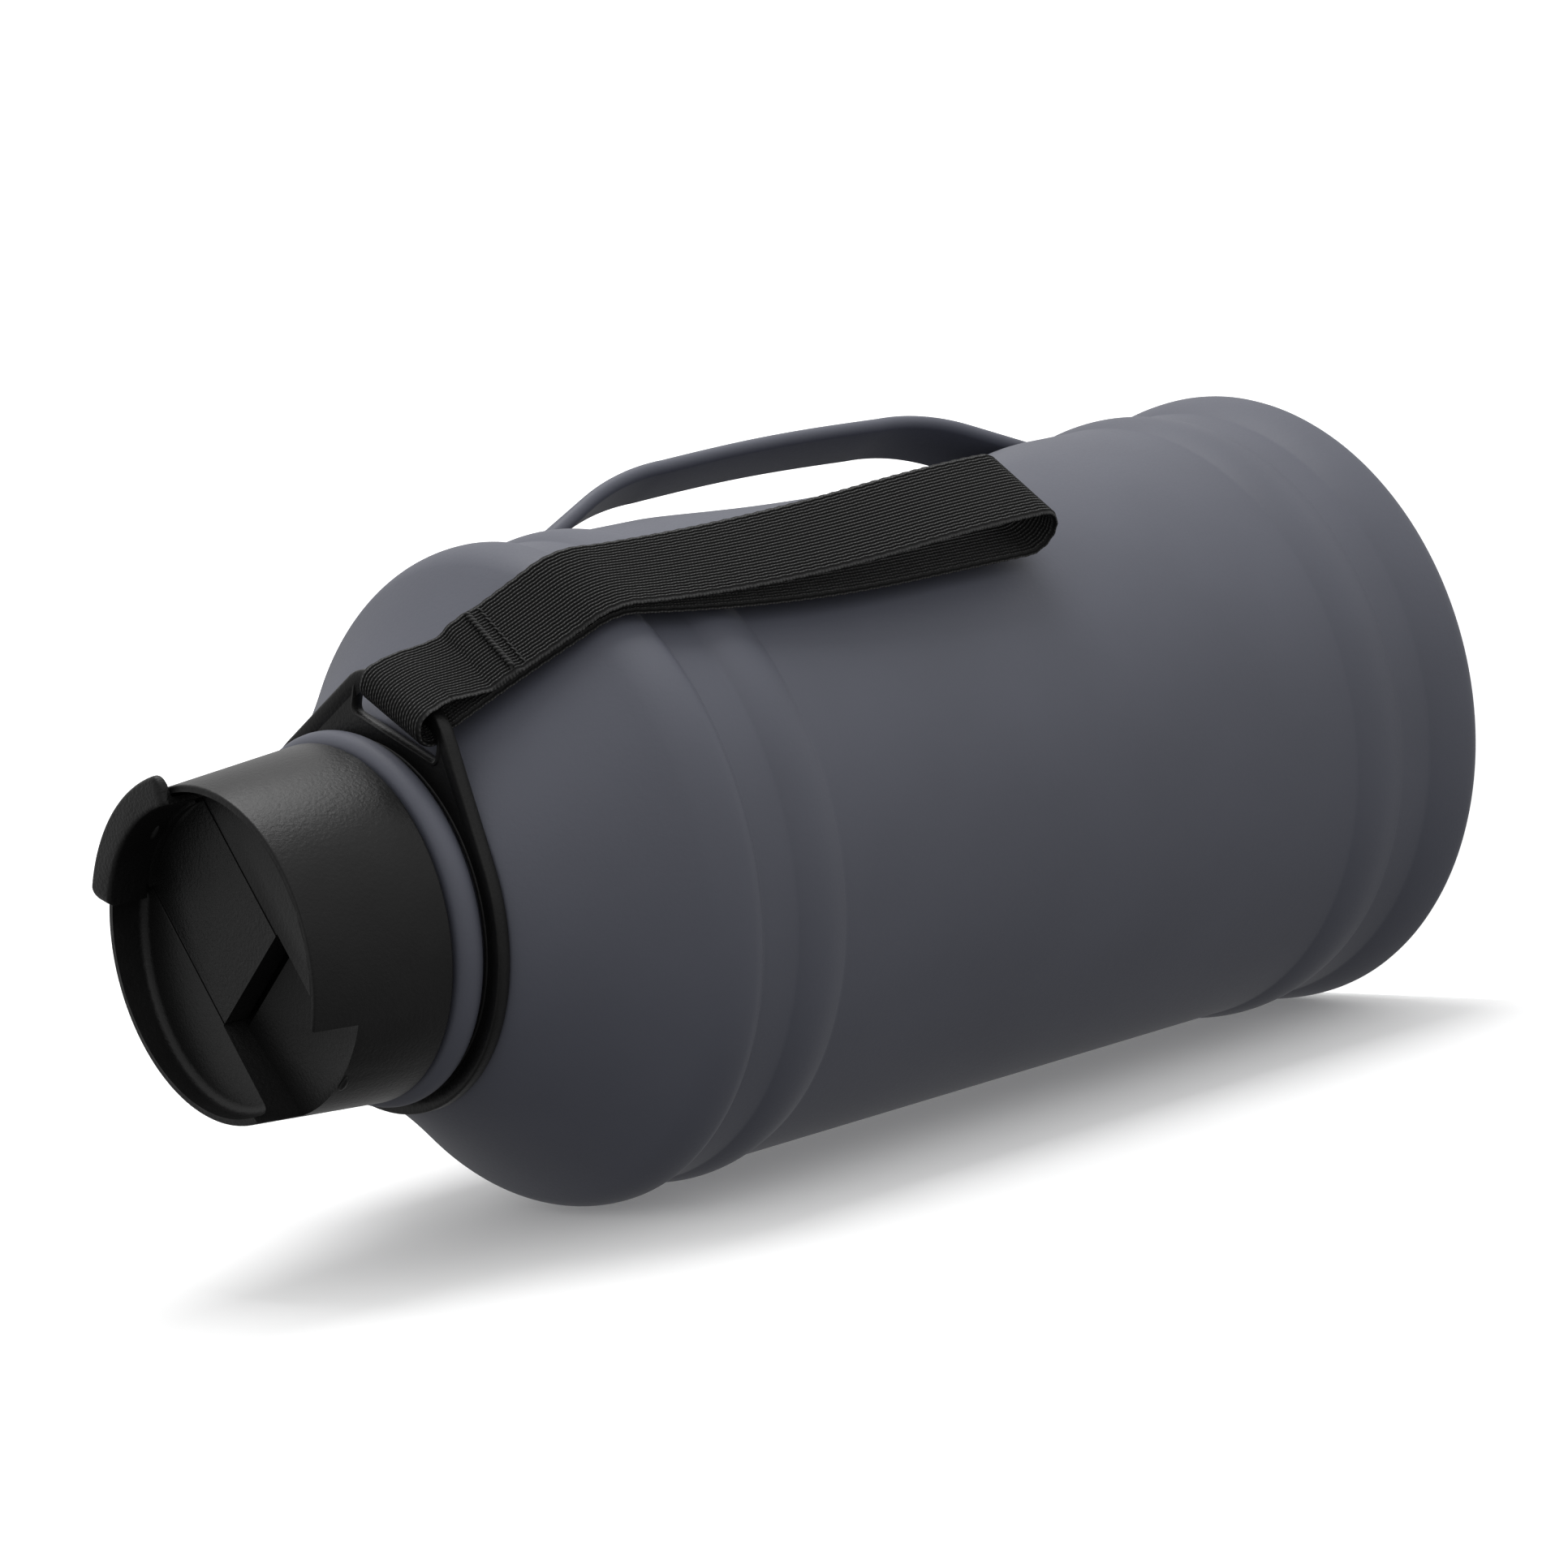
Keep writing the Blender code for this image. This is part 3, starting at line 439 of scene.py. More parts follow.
class Nodes:
    """A short way to build the nodes of one material or world."""

    def __init__(self, owner):
        owner.use_nodes = True
        self.owner = owner
        self.tree = owner.node_tree
        self.shader = self.tree.nodes.get("Principled BSDF")

    def add(self, kind, **values):
        node = self.tree.nodes.new(kind)
        for key, value in values.items():
            setattr(node, key, value)
        return node

    def join(self, source, target):
        self.tree.links.new(source, target)

    def where(self, kind="Object"):
        return self.add("ShaderNodeTexCoord").outputs[kind]

    def noise(self, coordinates, scale, detail=2.0, roughness=0.5, stretch=None):
        if stretch is not None:
            mapping = self.add("ShaderNodeMapping")
            mapping.inputs["Scale"].default_value = stretch
            self.join(coordinates, mapping.inputs["Vector"])
            coordinates = mapping.outputs["Vector"]
        node = self.add("ShaderNodeTexNoise")
        node.inputs["Scale"].default_value = scale
        node.inputs["Detail"].default_value = detail
        node.inputs["Roughness"].default_value = roughness
        self.join(coordinates, node.inputs["Vector"])
        return node.outputs["Fac"]

    def ramp(self, factor, stops):
        node = self.add("ShaderNodeValToRGB")
        line = node.color_ramp
        for element, (place, colour) in zip(line.elements, (stops[0], stops[-1])):
            element.position = place
            element.color = (*colour, 1.0)
        for place, colour in stops[1:-1]:
            line.elements.new(place).color = (*colour, 1.0)
        self.join(factor, node.inputs["Fac"])
        return node.outputs["Color"]

    def tones(self, factor, dark, light):
        """Two tones that blend over the middle of the factor's range."""
        return self.ramp(factor, [(0.3, dark), (0.7, light)])

    def span(self, factor, low, high, least=0.0):
        """The factor, from its least to one, as a value from low to high."""
        node = self.add("ShaderNodeMapRange")
        node.inputs["From Min"].default_value = least
        node.inputs["To Min"].default_value = low
        node.inputs["To Max"].default_value = high
        self.join(factor, node.inputs["Value"])
        return node.outputs["Result"]

    def along(self, coordinates, direction):
        node = self.add("ShaderNodeVectorMath", operation="DOT_PRODUCT")
        node.inputs[1].default_value = direction
        self.join(coordinates, node.inputs[0])
        return node.outputs["Value"]

    def product(self, first, second):
        node = self.add("ShaderNodeMath", operation="MULTIPLY")
        self.join(first, node.inputs[0])
        self.join(second, node.inputs[1])
        return node.outputs["Value"]

    def mixed(self, share, first, second):
        node = self.add("ShaderNodeMixShader")
        for source, target in zip((share, first, second), node.inputs):
            self.join(source, target)
        return node.outputs["Shader"]

    def bump(self, height, distance, normal=None):
        node = self.add("ShaderNodeBump")
        node.inputs["Distance"].default_value = distance
        node.inputs["Strength"].default_value = 1.0
        self.join(height, node.inputs["Height"])
        if normal is not None:
            self.join(normal, node.inputs["Normal"])
        return node.outputs["Normal"]

    def set(self, **values):
        """Sets the shader's inputs, or links them where the value is another node's output."""
        for key, value in values.items():
            target = self.shader.inputs[key.replace("_", " ")]
            if isinstance(value, bpy.types.NodeSocket):
                self.join(value, target)
            else:
                target.default_value = value


def material(name):
    return Nodes(bpy.data.materials.new(name))


def powder_coat(name):
    """Matte blue-grey powder coat with a fine orange-peel surface."""
    n = material(name)
    where = n.where()
    speck = n.noise(where, 2600.0)
    peel = n.bump(n.noise(where, 900.0), 0.00003)
    n.set(
        Base_Color=n.tones(n.noise(where, 35.0, 3.0), PAINT_DARK, PAINT_LIGHT),
        Roughness=n.span(speck, 0.50, 0.64),
        Normal=n.bump(speck, 0.000012, peel),
        Specular_IOR_Level=0.40,
    )
    return n.owner


def moulded_plastic(name, dark, light, roughness, grain=0.00002):
    """Black moulded plastic with a fine spark-eroded grain."""
    n = material(name)
    where = n.where()
    grains = n.noise(where, 3000.0, 3.0, 0.6)
    soft = n.bump(n.noise(where, 1300.0, 3.0), 4 * grain)
    n.set(
        Base_Color=n.tones(n.noise(where, 120.0), dark, light),
        Roughness=n.span(grains, roughness - 0.05, roughness + 0.07),
        Normal=n.bump(grains, 1.5 * grain, soft),
        Specular_IOR_Level=0.24,
    )
    return n.owner


def brushed_steel(name, stretch, tint):
    """Bare steel with long fine brush lines."""
    n = material(name)
    where = n.where()
    lines = n.noise(where, 1.0, 4.0, 0.6, stretch)
    n.set(
        Base_Color=n.tones(lines, tuple(value * 0.86 for value in tint), tint),
        Roughness=n.span(n.noise(where, 60.0, 3.0), 0.24, 0.40),
        Normal=n.bump(lines, 0.00001),
        Metallic=1.0,
    )
    return n.owner


def silicone(name):
    """Soft translucent grey silicone with a faint dusty bloom."""
    n = material(name)
    where = n.where()
    cloud = n.noise(where, 260.0, 3.0)
    n.set(
        Base_Color=n.tones(cloud, SILICONE_DARK, SILICONE_LIGHT),
        Roughness=n.span(cloud, 0.5, 0.62),
        Normal=n.bump(n.noise(where, 2000.0), 0.000015),
        Subsurface_Weight=0.15,
        Subsurface_Scale=0.0015,
    )
    return n.owner


def woven_webbing(name):
    """Black webbing: lengthwise ribs, each made of slanting yarns, with painted shade darkening the grooves
    between them and a painted highlight on the yarn tops.
    """
    n = material(name)
    place = n.add("ShaderNodeUVMap", uv_map="weave").outputs["UV"]
    waves = []
    for direction in (RIB_WAVE, YARN_WAVE):
        point = n.add("ShaderNodeCombineXYZ")
        n.join(n.along(place, direction), point.inputs["X"])
        wave = n.add("ShaderNodeTexWave", wave_type="BANDS", bands_direction="X", wave_profile="SIN")
        # The node draws 20 waves in a run of 2 pi, so this scale makes one in each unit
        wave.inputs["Scale"].default_value = 2 * math.pi / 20
        n.join(point.outputs["Vector"], wave.inputs["Vector"])
        waves.append(wave.outputs["Fac"])
    yarn = n.product(waves[0], n.span(waves[1], 0.55, 1.0))
    fuzz = n.noise(n.where(), 2500.0, 3.0, 0.7)
    # The ribs' and yarns' height also sets the colour: painted shade in the grooves, painted highlight on the
    # yarn tops
    n.set(
        Base_Color=n.ramp(n.product(yarn, n.span(fuzz, 0.45, 1.35)), WEB_PAINTED_SHADE_TO_HIGHLIGHT),
        Normal=n.bump(yarn, 0.00030, n.bump(fuzz, 0.00005)),
        Roughness=0.62,
        Specular_IOR_Level=0.26,
    )
    return n.owner


def thread_material(name):
    """Twisted black polyester sewing thread."""
    n = material(name)
    twist = n.noise(n.where(), 4200.0)
    n.set(
        Base_Color=n.tones(twist, THREAD_DARK, THREAD_LIGHT),
        Normal=n.bump(twist, 0.00003),
        Roughness=0.6,
        Specular_IOR_Level=0.3,
    )
    return n.owner


# Body


def bow(corner, peak, steps):
    """Points from a corner to a peak along a round that stands upright at the peak."""
    rise = peak[0] - corner[0]
    run = corner[1] - peak[1]
    radius = (rise * rise + run * run) / (2 * rise)
    return arc((peak[0] - radius, peak[1]), radius, math.asin(run / radius), 0.0, steps)


def ring_profile(bottom, height):
    peak = (MAIN_R + RING_PROUD, bottom + height / 2)
    return bow((MAIN_R, bottom), peak, 10) + bow((MAIN_R, bottom + height), peak, 10)[-2::-1]


def body_outside():
    """The painted outside from the base's hole to the top of the neck bead."""
    points = [(BASE_HOLE_R, 0.0)]
    points += arc((BASE_FLAT_R, BULGE_PEAK_Z), BULGE_R - BASE_FLAT_R, -math.pi / 2, 0.0, 14, BULGE_PEAK_Z)
    points += bow((MAIN_R, BULGE_TOP_Z), (BULGE_R, BULGE_PEAK_Z), 12)[-2::-1]
    points += ring_profile(LOW_RING_Z, LOW_RING_HEIGHT)
    points += [(MAIN_R, DENT_LOW_Z + DENT_HEIGHT * step / DENT_STEPS) for step in range(DENT_STEPS + 1)]
    points += ring_profile(HIGH_RING_Z, HIGH_RING_HEIGHT)
    points += bow((MAIN_R, DOME_CORNER_Z), (DOME_R, DOME_Z), 10)[:-1]
    points += arc((DOME_R - DOME_ROUND, DOME_Z), DOME_ROUND, 0.0, math.pi / 2 - CONE_SLOPE, 12)
    foot = points[-1]
    for share in shares(CONE_STEPS)[1:]:
        sag = CONE_SAG * math.sin(math.pi * share)
        radius, height = between(foot, (NECK_ROOT_R, NECK_Z), share)
        points.append((radius - sag * math.sin(CONE_SLOPE), height - sag * math.cos(CONE_SLOPE)))
    points += [(NECK_R, NECK_Z), (NECK_R, BEAD_Z - BEAD_ROUND)]
    points += arc((BEAD_R - BEAD_ROUND, BEAD_Z), BEAD_ROUND, -math.pi / 3, math.pi / 2, 14)
    return softened(points, SKIN_CORNER)


def dented(radius, angle, height):
    """The radius less the hand dent, which is centred on +X."""
    turn = abs((angle + math.pi) % (2 * math.pi) - math.pi)
    share = (height - DENT_LOW_Z) / DENT_HEIGHT
    if turn >= DENT_HALF_ANGLE or share <= 0.0 or share >= 1.0:
        return radius
    across = math.cos(math.pi / 2 * turn / DENT_HALF_ANGLE) ** 2
    return radius - DENT_DEPTH * across * math.sin(math.pi * share) ** DENT_POWER


def make_shell(mat):
    outside = body_outside()
    wall = SHELL_WALL
    inside = [(radius - wall, height) for radius, height in outside[::3] if wall < height < DOME_Z]
    inside += arc((DOME_R - DOME_ROUND, DOME_Z), DOME_ROUND - wall, 0.0, math.pi / 2 - CONE_SLOPE, 5)
    inside += [(NECK_ROOT_R - wall, NECK_Z - wall), (NECK_R - wall, NECK_Z - wall)]
    inside += [(NECK_R - wall, SHELL_TOP_Z - 2 * wall), (MOUTH_HOLE_R, SHELL_TOP_Z - wall)]
    inside.append((MOUTH_HOLE_R, SHELL_TOP_Z))
    shape = turned(outside + inside[::-1] + [(BASE_HOLE_R, wall)], SHELL_SIDES, dented, looped=True)
    shell = piece("shell_skin", *shape, mat, sharp=50)
    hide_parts("outer_shell")
    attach(shell, "bottle")


# Handle


def leg(foot, bend):
    """Points along a straight leg of the bar, from its foot to just short of its bend."""
    points = [between(foot, bend, share) for share in shares(LEG_STEPS)]
    return [point for point in points if math.dist(point, bend) > BEND_LENGTH * 1.05]


def bend_curve(before, corner, after):
    """A bend that starts and ends at its length from the corner."""
    first = between(corner, before, BEND_LENGTH / math.dist(before, corner))
    last = between(corner, after, BEND_LENGTH / math.dist(after, corner))
    points = []
    for share in shares(BEND_STEPS):
        weights = ((1 - share) ** 2, 2 * share * (1 - share), share ** 2)
        points.append(tuple(weights[0] * first[axis] + weights[1] * corner[axis] + weights[2] * last[axis]
                            for axis in range(2)))
    return points


def handle_line():
    """Middle line of the bar from the low foot to the high foot, as (x, height)."""
    foot = MAIN_R - FOOT_SINK
    bend = MAIN_R + BEND_STANDOFF
    corners = [(foot, LOW_FOOT_Z), (bend, LOW_BEND_Z), (bend, HIGH_BEND_Z), (foot, HIGH_FOOT_Z)]
    low_bend = bend_curve(*corners[:3])
    high_bend = bend_curve(*corners[1:])
    low = low_bend[-1]
    high = high_bend[0]
    grip = []
    for share in shares(GRIP_STEPS)[1:-1]:
        out = (GRIP_STANDOFF - BEND_STANDOFF) * math.sin(math.pi * share)
        grip.append((low[0] + out, low[1] + (high[1] - low[1]) * share))
    return leg(*corners[:2]) + low_bend + grip + high_bend + leg(corners[3], corners[2])[::-1]


def bar_section(half_width, half_thick, edge):
    """A flat bar's section with well rounded edges, as (across the width, across the thickness)."""
    points = []
    for side, turn in ((1, 0.0), (-1, math.pi)):
        centre = (side * (half_width - edge), 0.0)
        points += arc(centre, edge, turn - math.pi / 2, turn + math.pi / 2, 10, half_thick)
    return points


def squared(value, power):
    return math.copysign(abs(value) ** power, value)


def weld_bead(middle_z):
    """A bead of weld round a foot of the bar, worn smooth under the paint."""
    path = []
    for step in range(WELD_STEPS):
        turn = 2 * math.pi * step / WELD_STEPS
        y = (GRIP_WIDTH / 2 + WELD_MARGIN) * squared(math.sin(turn), 0.35)
        z = middle_z + WELD_HALF_HEIGHT * squared(math.cos(turn), 0.6)
        radius = surface_r(z)
        path.append((math.sqrt(radius * radius - y * y) - WELD_SINK, y, z))
    return tube(path, WELD_R, 10)


def make_handle(mat):
    line = handle_line()
    section = bar_section(GRIP_WIDTH / 2, GRIP_THICK / 2, GRIP_THICK * 0.45)
    rings = []
    for index, (x, z) in enumerate(line):
        before = line[max(index - 1, 0)]
        after = line[min(index + 1, len(line) - 1)]
        run = math.dist(before, after)
        out = ((after[1] - before[1]) / run, -(after[0] - before[0]) / run)
        rings.append([(x + thick * out[0], wide, z + thick * out[1]) for wide, thick in section])
    parts = [lofted(rings), weld_bead(LOW_FOOT_Z + WELD_SHIFT), weld_bead(HIGH_FOOT_Z - WELD_SHIFT)]
    handle = piece("handle_bar", *joined(parts), mat, sharp=60)
    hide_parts("handle")
    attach(handle, "bottle")


def surface_r(height):
    """Radius of the body's outside at a height, away from the dent."""
    profile = body_outside()
    for low, high in zip(profile, profile[1:]):
        if low[1] <= height <= high[1] and high[1] > low[1]:
            share = (height - low[1]) / (high[1] - low[1])
            return low[0] + (high[0] - low[0]) * share
    return MAIN_R


def tube(path, radius, sides, closed=True):
    """A round tube along a path of points."""
    rings = []
    count = len(path)
    for index in range(count):
        here = Vector(path[index])
        if closed:
            along = Vector(path[(index + 1) % count]) - Vector(path[index - 1])
        else:
            along = Vector(path[min(index + 1, count - 1)]) - Vector(path[max(index - 1, 0)])
        along.normalize()
        helper = Vector((0.0, 0.0, 1.0)) if abs(along.z) < 0.9 else Vector((1.0, 0.0, 0.0))
        side = along.cross(helper).normalized()
        other = along.cross(side)
        ring = []
        for step in range(sides):
            turn = 2 * math.pi * step / sides
            ring.append(tuple(here + side * radius * math.cos(turn) + other * radius * math.sin(turn)))
        rings.append(ring)
    return lofted(rings, looped=closed)


# Collar


def collar_outline(inset):
    """The ring's circle drawn out to an ear with rounded corners, moved in by the inset."""
    corner = EAR_CORNER - inset
    corner_x = EAR_REACH - EAR_CORNER
    corner_y = EAR_HALF_WIDTH - EAR_CORNER
    outer = COLLAR_OUTER_R - inset
    span = math.hypot(corner_x, corner_y)
    tangent = math.atan2(corner_y, corner_x) + math.acos((outer - corner) / span)
    points = arc((corner_x, -corner_y), corner, -tangent, 0.0, 14)
    points += arc((corner_x, corner_y), corner, 0.0, tangent, 14)
    points += arc((0.0, 0.0), outer, tangent, 2 * math.pi - tangent, 96)
    # The straight sides get points of their own so that they shade evenly
    made = []
    for index, here in enumerate(points):
        following = points[(index + 1) % len(points)]
        made.append(here)
        pieces = int(math.dist(here, following) / 0.003) + 1
        made += [between(here, following, share) for share in shares(pieces)[1:-1]]
    return made


def slot_loop(grow):
    """The webbing slot's rounded plan, made larger by the amount."""
    corner = SLOT_CORNER + grow
    high_x = EAR_REACH - EAR_BAR + grow - corner
    low_x = EAR_REACH - EAR_BAR - SLOT_WIDTH - grow + corner
    end = SLOT_HALF_LENGTH + grow - corner
    points = []
    for quarter, centre in enumerate([(high_x, end), (low_x, end), (low_x, -end), (high_x, -end)]):
        points += arc(centre, corner, math.pi / 2 * quarter, math.pi / 2 * (quarter + 1), 6)
    return points


def banded(loops_and_heights):
    """Closed plan loops of equal size, each at its height, joined into one ring."""
    rings = [[(x, y, height) for x, y in loop] for loop, height in loops_and_heights]
    return lofted(rings, looped=True)


def mirrored(section):
    """A section's upper half followed by its lower half, back to where it starts."""
    return section + [(offset, -height) for offset, height in section[:0:-1]]


def make_collar(mat):
    half = COLLAR_THICK / 2
    hole = arc((0.0, 0.0), COLLAR_HOLE_R + HOLE_GAP, 0.0, 2 * math.pi, COLLAR_SIDES)[:-1]
    flat = prism(collar_outline(FLAT_INSET), [hole, slot_loop(SLOT_GROW)], FLAT_SINK - half, half - FLAT_SINK)
    section = mirrored([(offset, half * RIM_SWELL * rise) for offset, rise in RIM_SECTION])
    outlines = [collar_outline(offset) for offset, height in section]
    count = min(len(outline) for outline in outlines)
    rim = banded([(resampled(outline, count), height)
                  for outline, (offset, height) in zip(outlines, section)])
    lip = mirrored([(grow, half * rise) for grow, rise in LIP_SECTION])
    slot_lip = banded([(slot_loop(grow), height) for grow, height in lip])
    inner = arc((COLLAR_HOLE_R + HOLE_LIP_R, 0.0), HOLE_LIP_R, 0.0, 2 * math.pi, 12, half - 0.0001)[:-1]
    inner_lip = turned(inner, COLLAR_SIDES, looped=True)
    verts, faces = joined([flat, rim, slot_lip, inner_lip])
    place = Matrix.Translation((0.0, 0.0, COLLAR_Z)) @ Matrix.Rotation(COLLAR_TURN, 4, "Z")
    collar = piece("collar_ring", [place @ Vector(v) for v in verts], faces, mat, sharp=40)
    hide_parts("collar")
    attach(collar, "collar")


def resampled(loop, count):
    """The same number of points spread evenly round a closed loop."""
    runs = [0.0]
    for index, here in enumerate(loop):
        runs.append(runs[-1] + math.dist(here, loop[(index + 1) % len(loop)]))
    made = []
    at = 0
    for step in range(count):
        want = runs[-1] * step / count
        while runs[at + 1] < want:
            at += 1
        share = (want - runs[at]) / max(runs[at + 1] - runs[at], 1e-12)
        made.append(between(loop[at], loop[(at + 1) % len(loop)], share))
    return made


# Webbing loop


def web_path():
    """The webbing's closed middle line as (radius, height), with the run from the bar at each point."""
    lift = WEB_BODY_GAP + WEB_THICK / 2
    bar = (EAR_REACH - EAR_BAR / 2, COLLAR_Z)
    edge_centre = (DOME_R - DOME_ROUND, DOME_Z)
    run = bar[0] - edge_centre[0]
    rise = bar[1] - edge_centre[1]
    facing = math.atan2(rise, run) - math.acos((WRAP_R + DOME_ROUND + lift) / math.hypot(run, rise))
    start = (bar[0] - WRAP_R * math.cos(facing), bar[1] - WRAP_R * math.sin(facing))
    edge = arc(edge_centre, DOME_ROUND + lift, facing, 0.0, 14)
    tip_z = COLLAR_Z - WEB_DROP
    lower = [between(start, edge[0], share) for share in shares(SLOPE_STEPS)[:-1]] + edge
    for step in range(1, WALL_STEPS + 1):
        lower.append((DOME_R + lift, DOME_Z + (tip_z - DOME_Z) * step / WALL_STEPS))
    runs = [0.0]
    for before, after in zip(lower, lower[1:]):
        runs.append(runs[-1] + math.dist(before, after))
    seam_end = SEAM_START + SEAM_LENGTH
    gaps = []
    for at in runs:
        near_bar = max(0.0, 1.0 - at / SEAM_START)
        in_loop = max(0.0, (at - seam_end) / (runs[-1] - seam_end))
        opening = LOOP_OPEN * in_loop ** 2 * (3 - 2 * in_loop)
        gaps.append(WEB_THICK + (2 * WRAP_R - WEB_THICK) * eased(near_bar) + opening)
    upper = []
    for index, (x, z) in enumerate(lower):
        before = lower[max(index - 1, 0)]
        after = lower[min(index + 1, len(lower) - 1)]
        length = math.dist(before, after)
        side = (-(after[1] - before[1]) / length, (after[0] - before[0]) / length)
        upper.append((x + side[0] * gaps[index], z + side[1] * gaps[index]))
    tip = (lower[-1][0] + gaps[-1] / 2, lower[-1][1])
    tip_arc = arc(tip, gaps[-1] / 2, 0.0, -math.pi, 26)[1:-1]
    bar_arc = arc(bar, WRAP_R, facing - math.pi, facing - 2 * math.pi, BAR_STEPS)[1:-1]
    path = [(x, z, at) for (x, z), at in zip(upper, runs)]
    path += [(x, z, runs[-1]) for x, z in tip_arc]
    path += [(x, z, at) for (x, z), at in zip(lower[::-1], runs[::-1])]
    path += [(x, z, 0.0) for x, z in bar_arc]
    return path, len(upper)


def eased(share):
    """The share with a soft start, so the plies part gently from the seam."""
    return share * share * (3 - 2 * share) * 0.5 + share * 0.5


def web_ribs():
    """The webbing's section as (across, out), with ribs on both faces and round edges."""
    half = WEB_THICK / 2 - 0.0001 - RIB_DEPTH
    span = WEB_HALF_WIDTH - WEB_EDGE_R
    top = []
    for share in shares(WEB_RIBS * RIB_STEPS):
        swell = abs(math.sin(math.pi * share * WEB_RIBS)) ** 0.7
        top.append((-span + 2 * span * share, half + RIB_DEPTH * swell))
    right = arc((span, 0.0), WEB_EDGE_R, math.pi / 2, -math.pi / 2, 6, half)[1:-1]
    bottom = [(across, -out) for across, out in top[::-1]]
    left = arc((-span, 0.0), WEB_EDGE_R, -math.pi / 2, -3 * math.pi / 2, 6, half)[1:-1]
    return top + right + bottom + left


def swung(x, y, z):
    """A point of the webbing in the bottle's frame, once it has swung round the body on its way down."""
    share = min(1.0, max(0.0, (COLLAR_Z - WRAP_R - z) / SWING_DROP))
    turn = COLLAR_TURN - SWING * (1.0 - (1.0 - share) ** 2)
    return Vector((x * math.cos(turn) - y * math.sin(turn), x * math.sin(turn) + y * math.cos(turn), z))


def web_frames(path):
    """Place, run from the bar, and the directions out and across at each point of the webbing's path."""
    centres = [swung(x, -SIDE_SHIFT, z) for x, z, at in path]
    frames = []
    count = len(path)
    for index, (x, z, at) in enumerate(path):
        before = path[index - 1]
        after = path[(index + 1) % count]
        run = math.dist(before[:2], after[:2])
        along = (centres[(index + 1) % count] - centres[index - 1]).normalized()
        out = swung(x - (after[1] - before[1]) / run, -SIDE_SHIFT, z) - centres[index]
        out.z += (after[0] - before[0]) / run
        out = (out - along * out.dot(along)).normalized()
        frames.append((centres[index], at, out, along.cross(out)))
    return frames


def make_webbing(mat, thread):
    path, upper_count = web_path()
    frames = web_frames(path)
    section = web_ribs()
    stations = [0.0]
    for index, frame_here in enumerate(frames):
        stations.append(stations[-1] + (frames[(index + 1) % len(frames)][0] - frame_here[0]).length)
    rings = []
    wrapped = len(frames) - BAR_STEPS
    for index, (centre, at, out, across) in enumerate(frames):
        # Round the bar the loop hangs looser towards the edge that is low in the picture
        loose = WEB_LOOSE * math.sin(math.pi * (index - wrapped) / BAR_STEPS) if index > wrapped else 0.0
        low = 1.0 if across.dot(UPRIGHT) < 0 else -1.0
        wave = math.sin(2 * math.pi * stations[index] / EDGE_WAVE_LENGTH)
        wide = 1.0 + EDGE_WAVE * wave / WEB_HALF_WIDTH
        welt = seam_welt(at) if index < upper_count else 0.0
        ring = []
        for side, rise in section:
            lift = rise + (welt if rise > 0 else 0.0) + loose * (0.5 + 0.5 * low * side / WEB_HALF_WIDTH)
            ring.append(tuple(centre + out * lift + across * (side * wide)))
        rings.append(ring)
    strap = piece("webbing_loop", *lofted(rings, looped=True), mat, sharp=70)
    weave_map(strap, section, stations, len(frames))
    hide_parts("strap")
    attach(strap, "strap")
    make_stitches(frames[:upper_count], thread)


def seam_welt(at):
    """How far the folded end under the seam lifts the upper ply."""
    middle = SEAM_START + SEAM_LENGTH / 2
    share = abs(at - middle) / (SEAM_LENGTH / 2)
    return WELT_RISE * max(0.0, 1.0 - share ** 4) if share < 1.0 else 0.0


def weave_map(strap, section, stations, count):
    """Lays the webbing out for its weave, with one unit to each rib."""
    size = len(section)
    layer = strap.data.uv_layers.new(name="weave")
    pitch = 2 * WEB_HALF_WIDTH / WEB_RIBS
    for polygon in strap.data.polygons:
        corners = [strap.data.loops[loop].vertex_index for loop in polygon.loop_indices]
        rows = [corner // size for corner in corners]
        columns = [corner % size for corner in corners]
        for loop, row, column in zip(polygon.loop_indices, rows, columns):
            if row == 0 and max(rows) == count - 1:
                row = count
            if column == 0 and max(columns) == size - 1:
                column = size
            layer.data[loop].uv = (stations[row] / pitch, column / RIB_STEPS)


def make_stitches(frames, mat):
    """A raised twisted cord of thread across the webbing at the seam, and a row of stitches beside it."""
    cord_at = SEAM_START + SEAM_LENGTH - CORD_INSET
    reach = WEB_HALF_WIDTH - SEAM_MARGIN
    centre, at, out, across = min(frames, key=lambda entry: abs(entry[1] - cord_at))
    along = out.cross(across)
    parts = []
    for phase in (0.0, math.pi):
        points = []
        for share in shares(CORD_STEPS):
            side = reach * (2 * share - 1)
            twist = phase + 2 * math.pi * side / STRAND_TWIST
            rise = WEB_THICK / 2 + seam_welt(at) + STRAND_R * (0.6 + 0.8 * math.cos(twist))
            points.append(centre + out * rise + across * side + along * (STRAND_R * 0.9 * math.sin(twist)))
        parts.append(tube(points, STRAND_R, 8, closed=False))
    centre, at, out, across = min(frames, key=lambda entry: abs(entry[1] - cord_at - STITCH_GAP))
    along = out.cross(across)
    top = WEB_THICK / 2 + seam_welt(at) - STITCH_SINK
    for stitch in range(STITCH_COUNT):
        middle = reach * (2 * (stitch + 0.5) / STITCH_COUNT - 1)
        points = []
        for share in shares(STITCH_STEPS):
            rise = top + STITCH_RISE * math.sin(math.pi * share)
            side = middle + (share - 0.5) * STITCH_LENGTH
            points.append(centre + out * rise + across * side + along * ((share - 0.5) * STITCH_SLANT))
        parts.append(tube(points, STITCH_R, 7, closed=False))
    stitches = piece("webbing_stitches", *joined(parts), mat, sharp=80)
    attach(stitches, "strap")


# Lid


def ledge_height(x, y=0.0):
    return RIM_Z - LEDGE_DEPTH + LEDGE_SLOPE * x


def lid_wall_r(height):
    return LID_BOTTOM_R + (LID_TOP_R - LID_BOTTOM_R) * (height - LID_Z) / (RIM_Z - LID_Z)


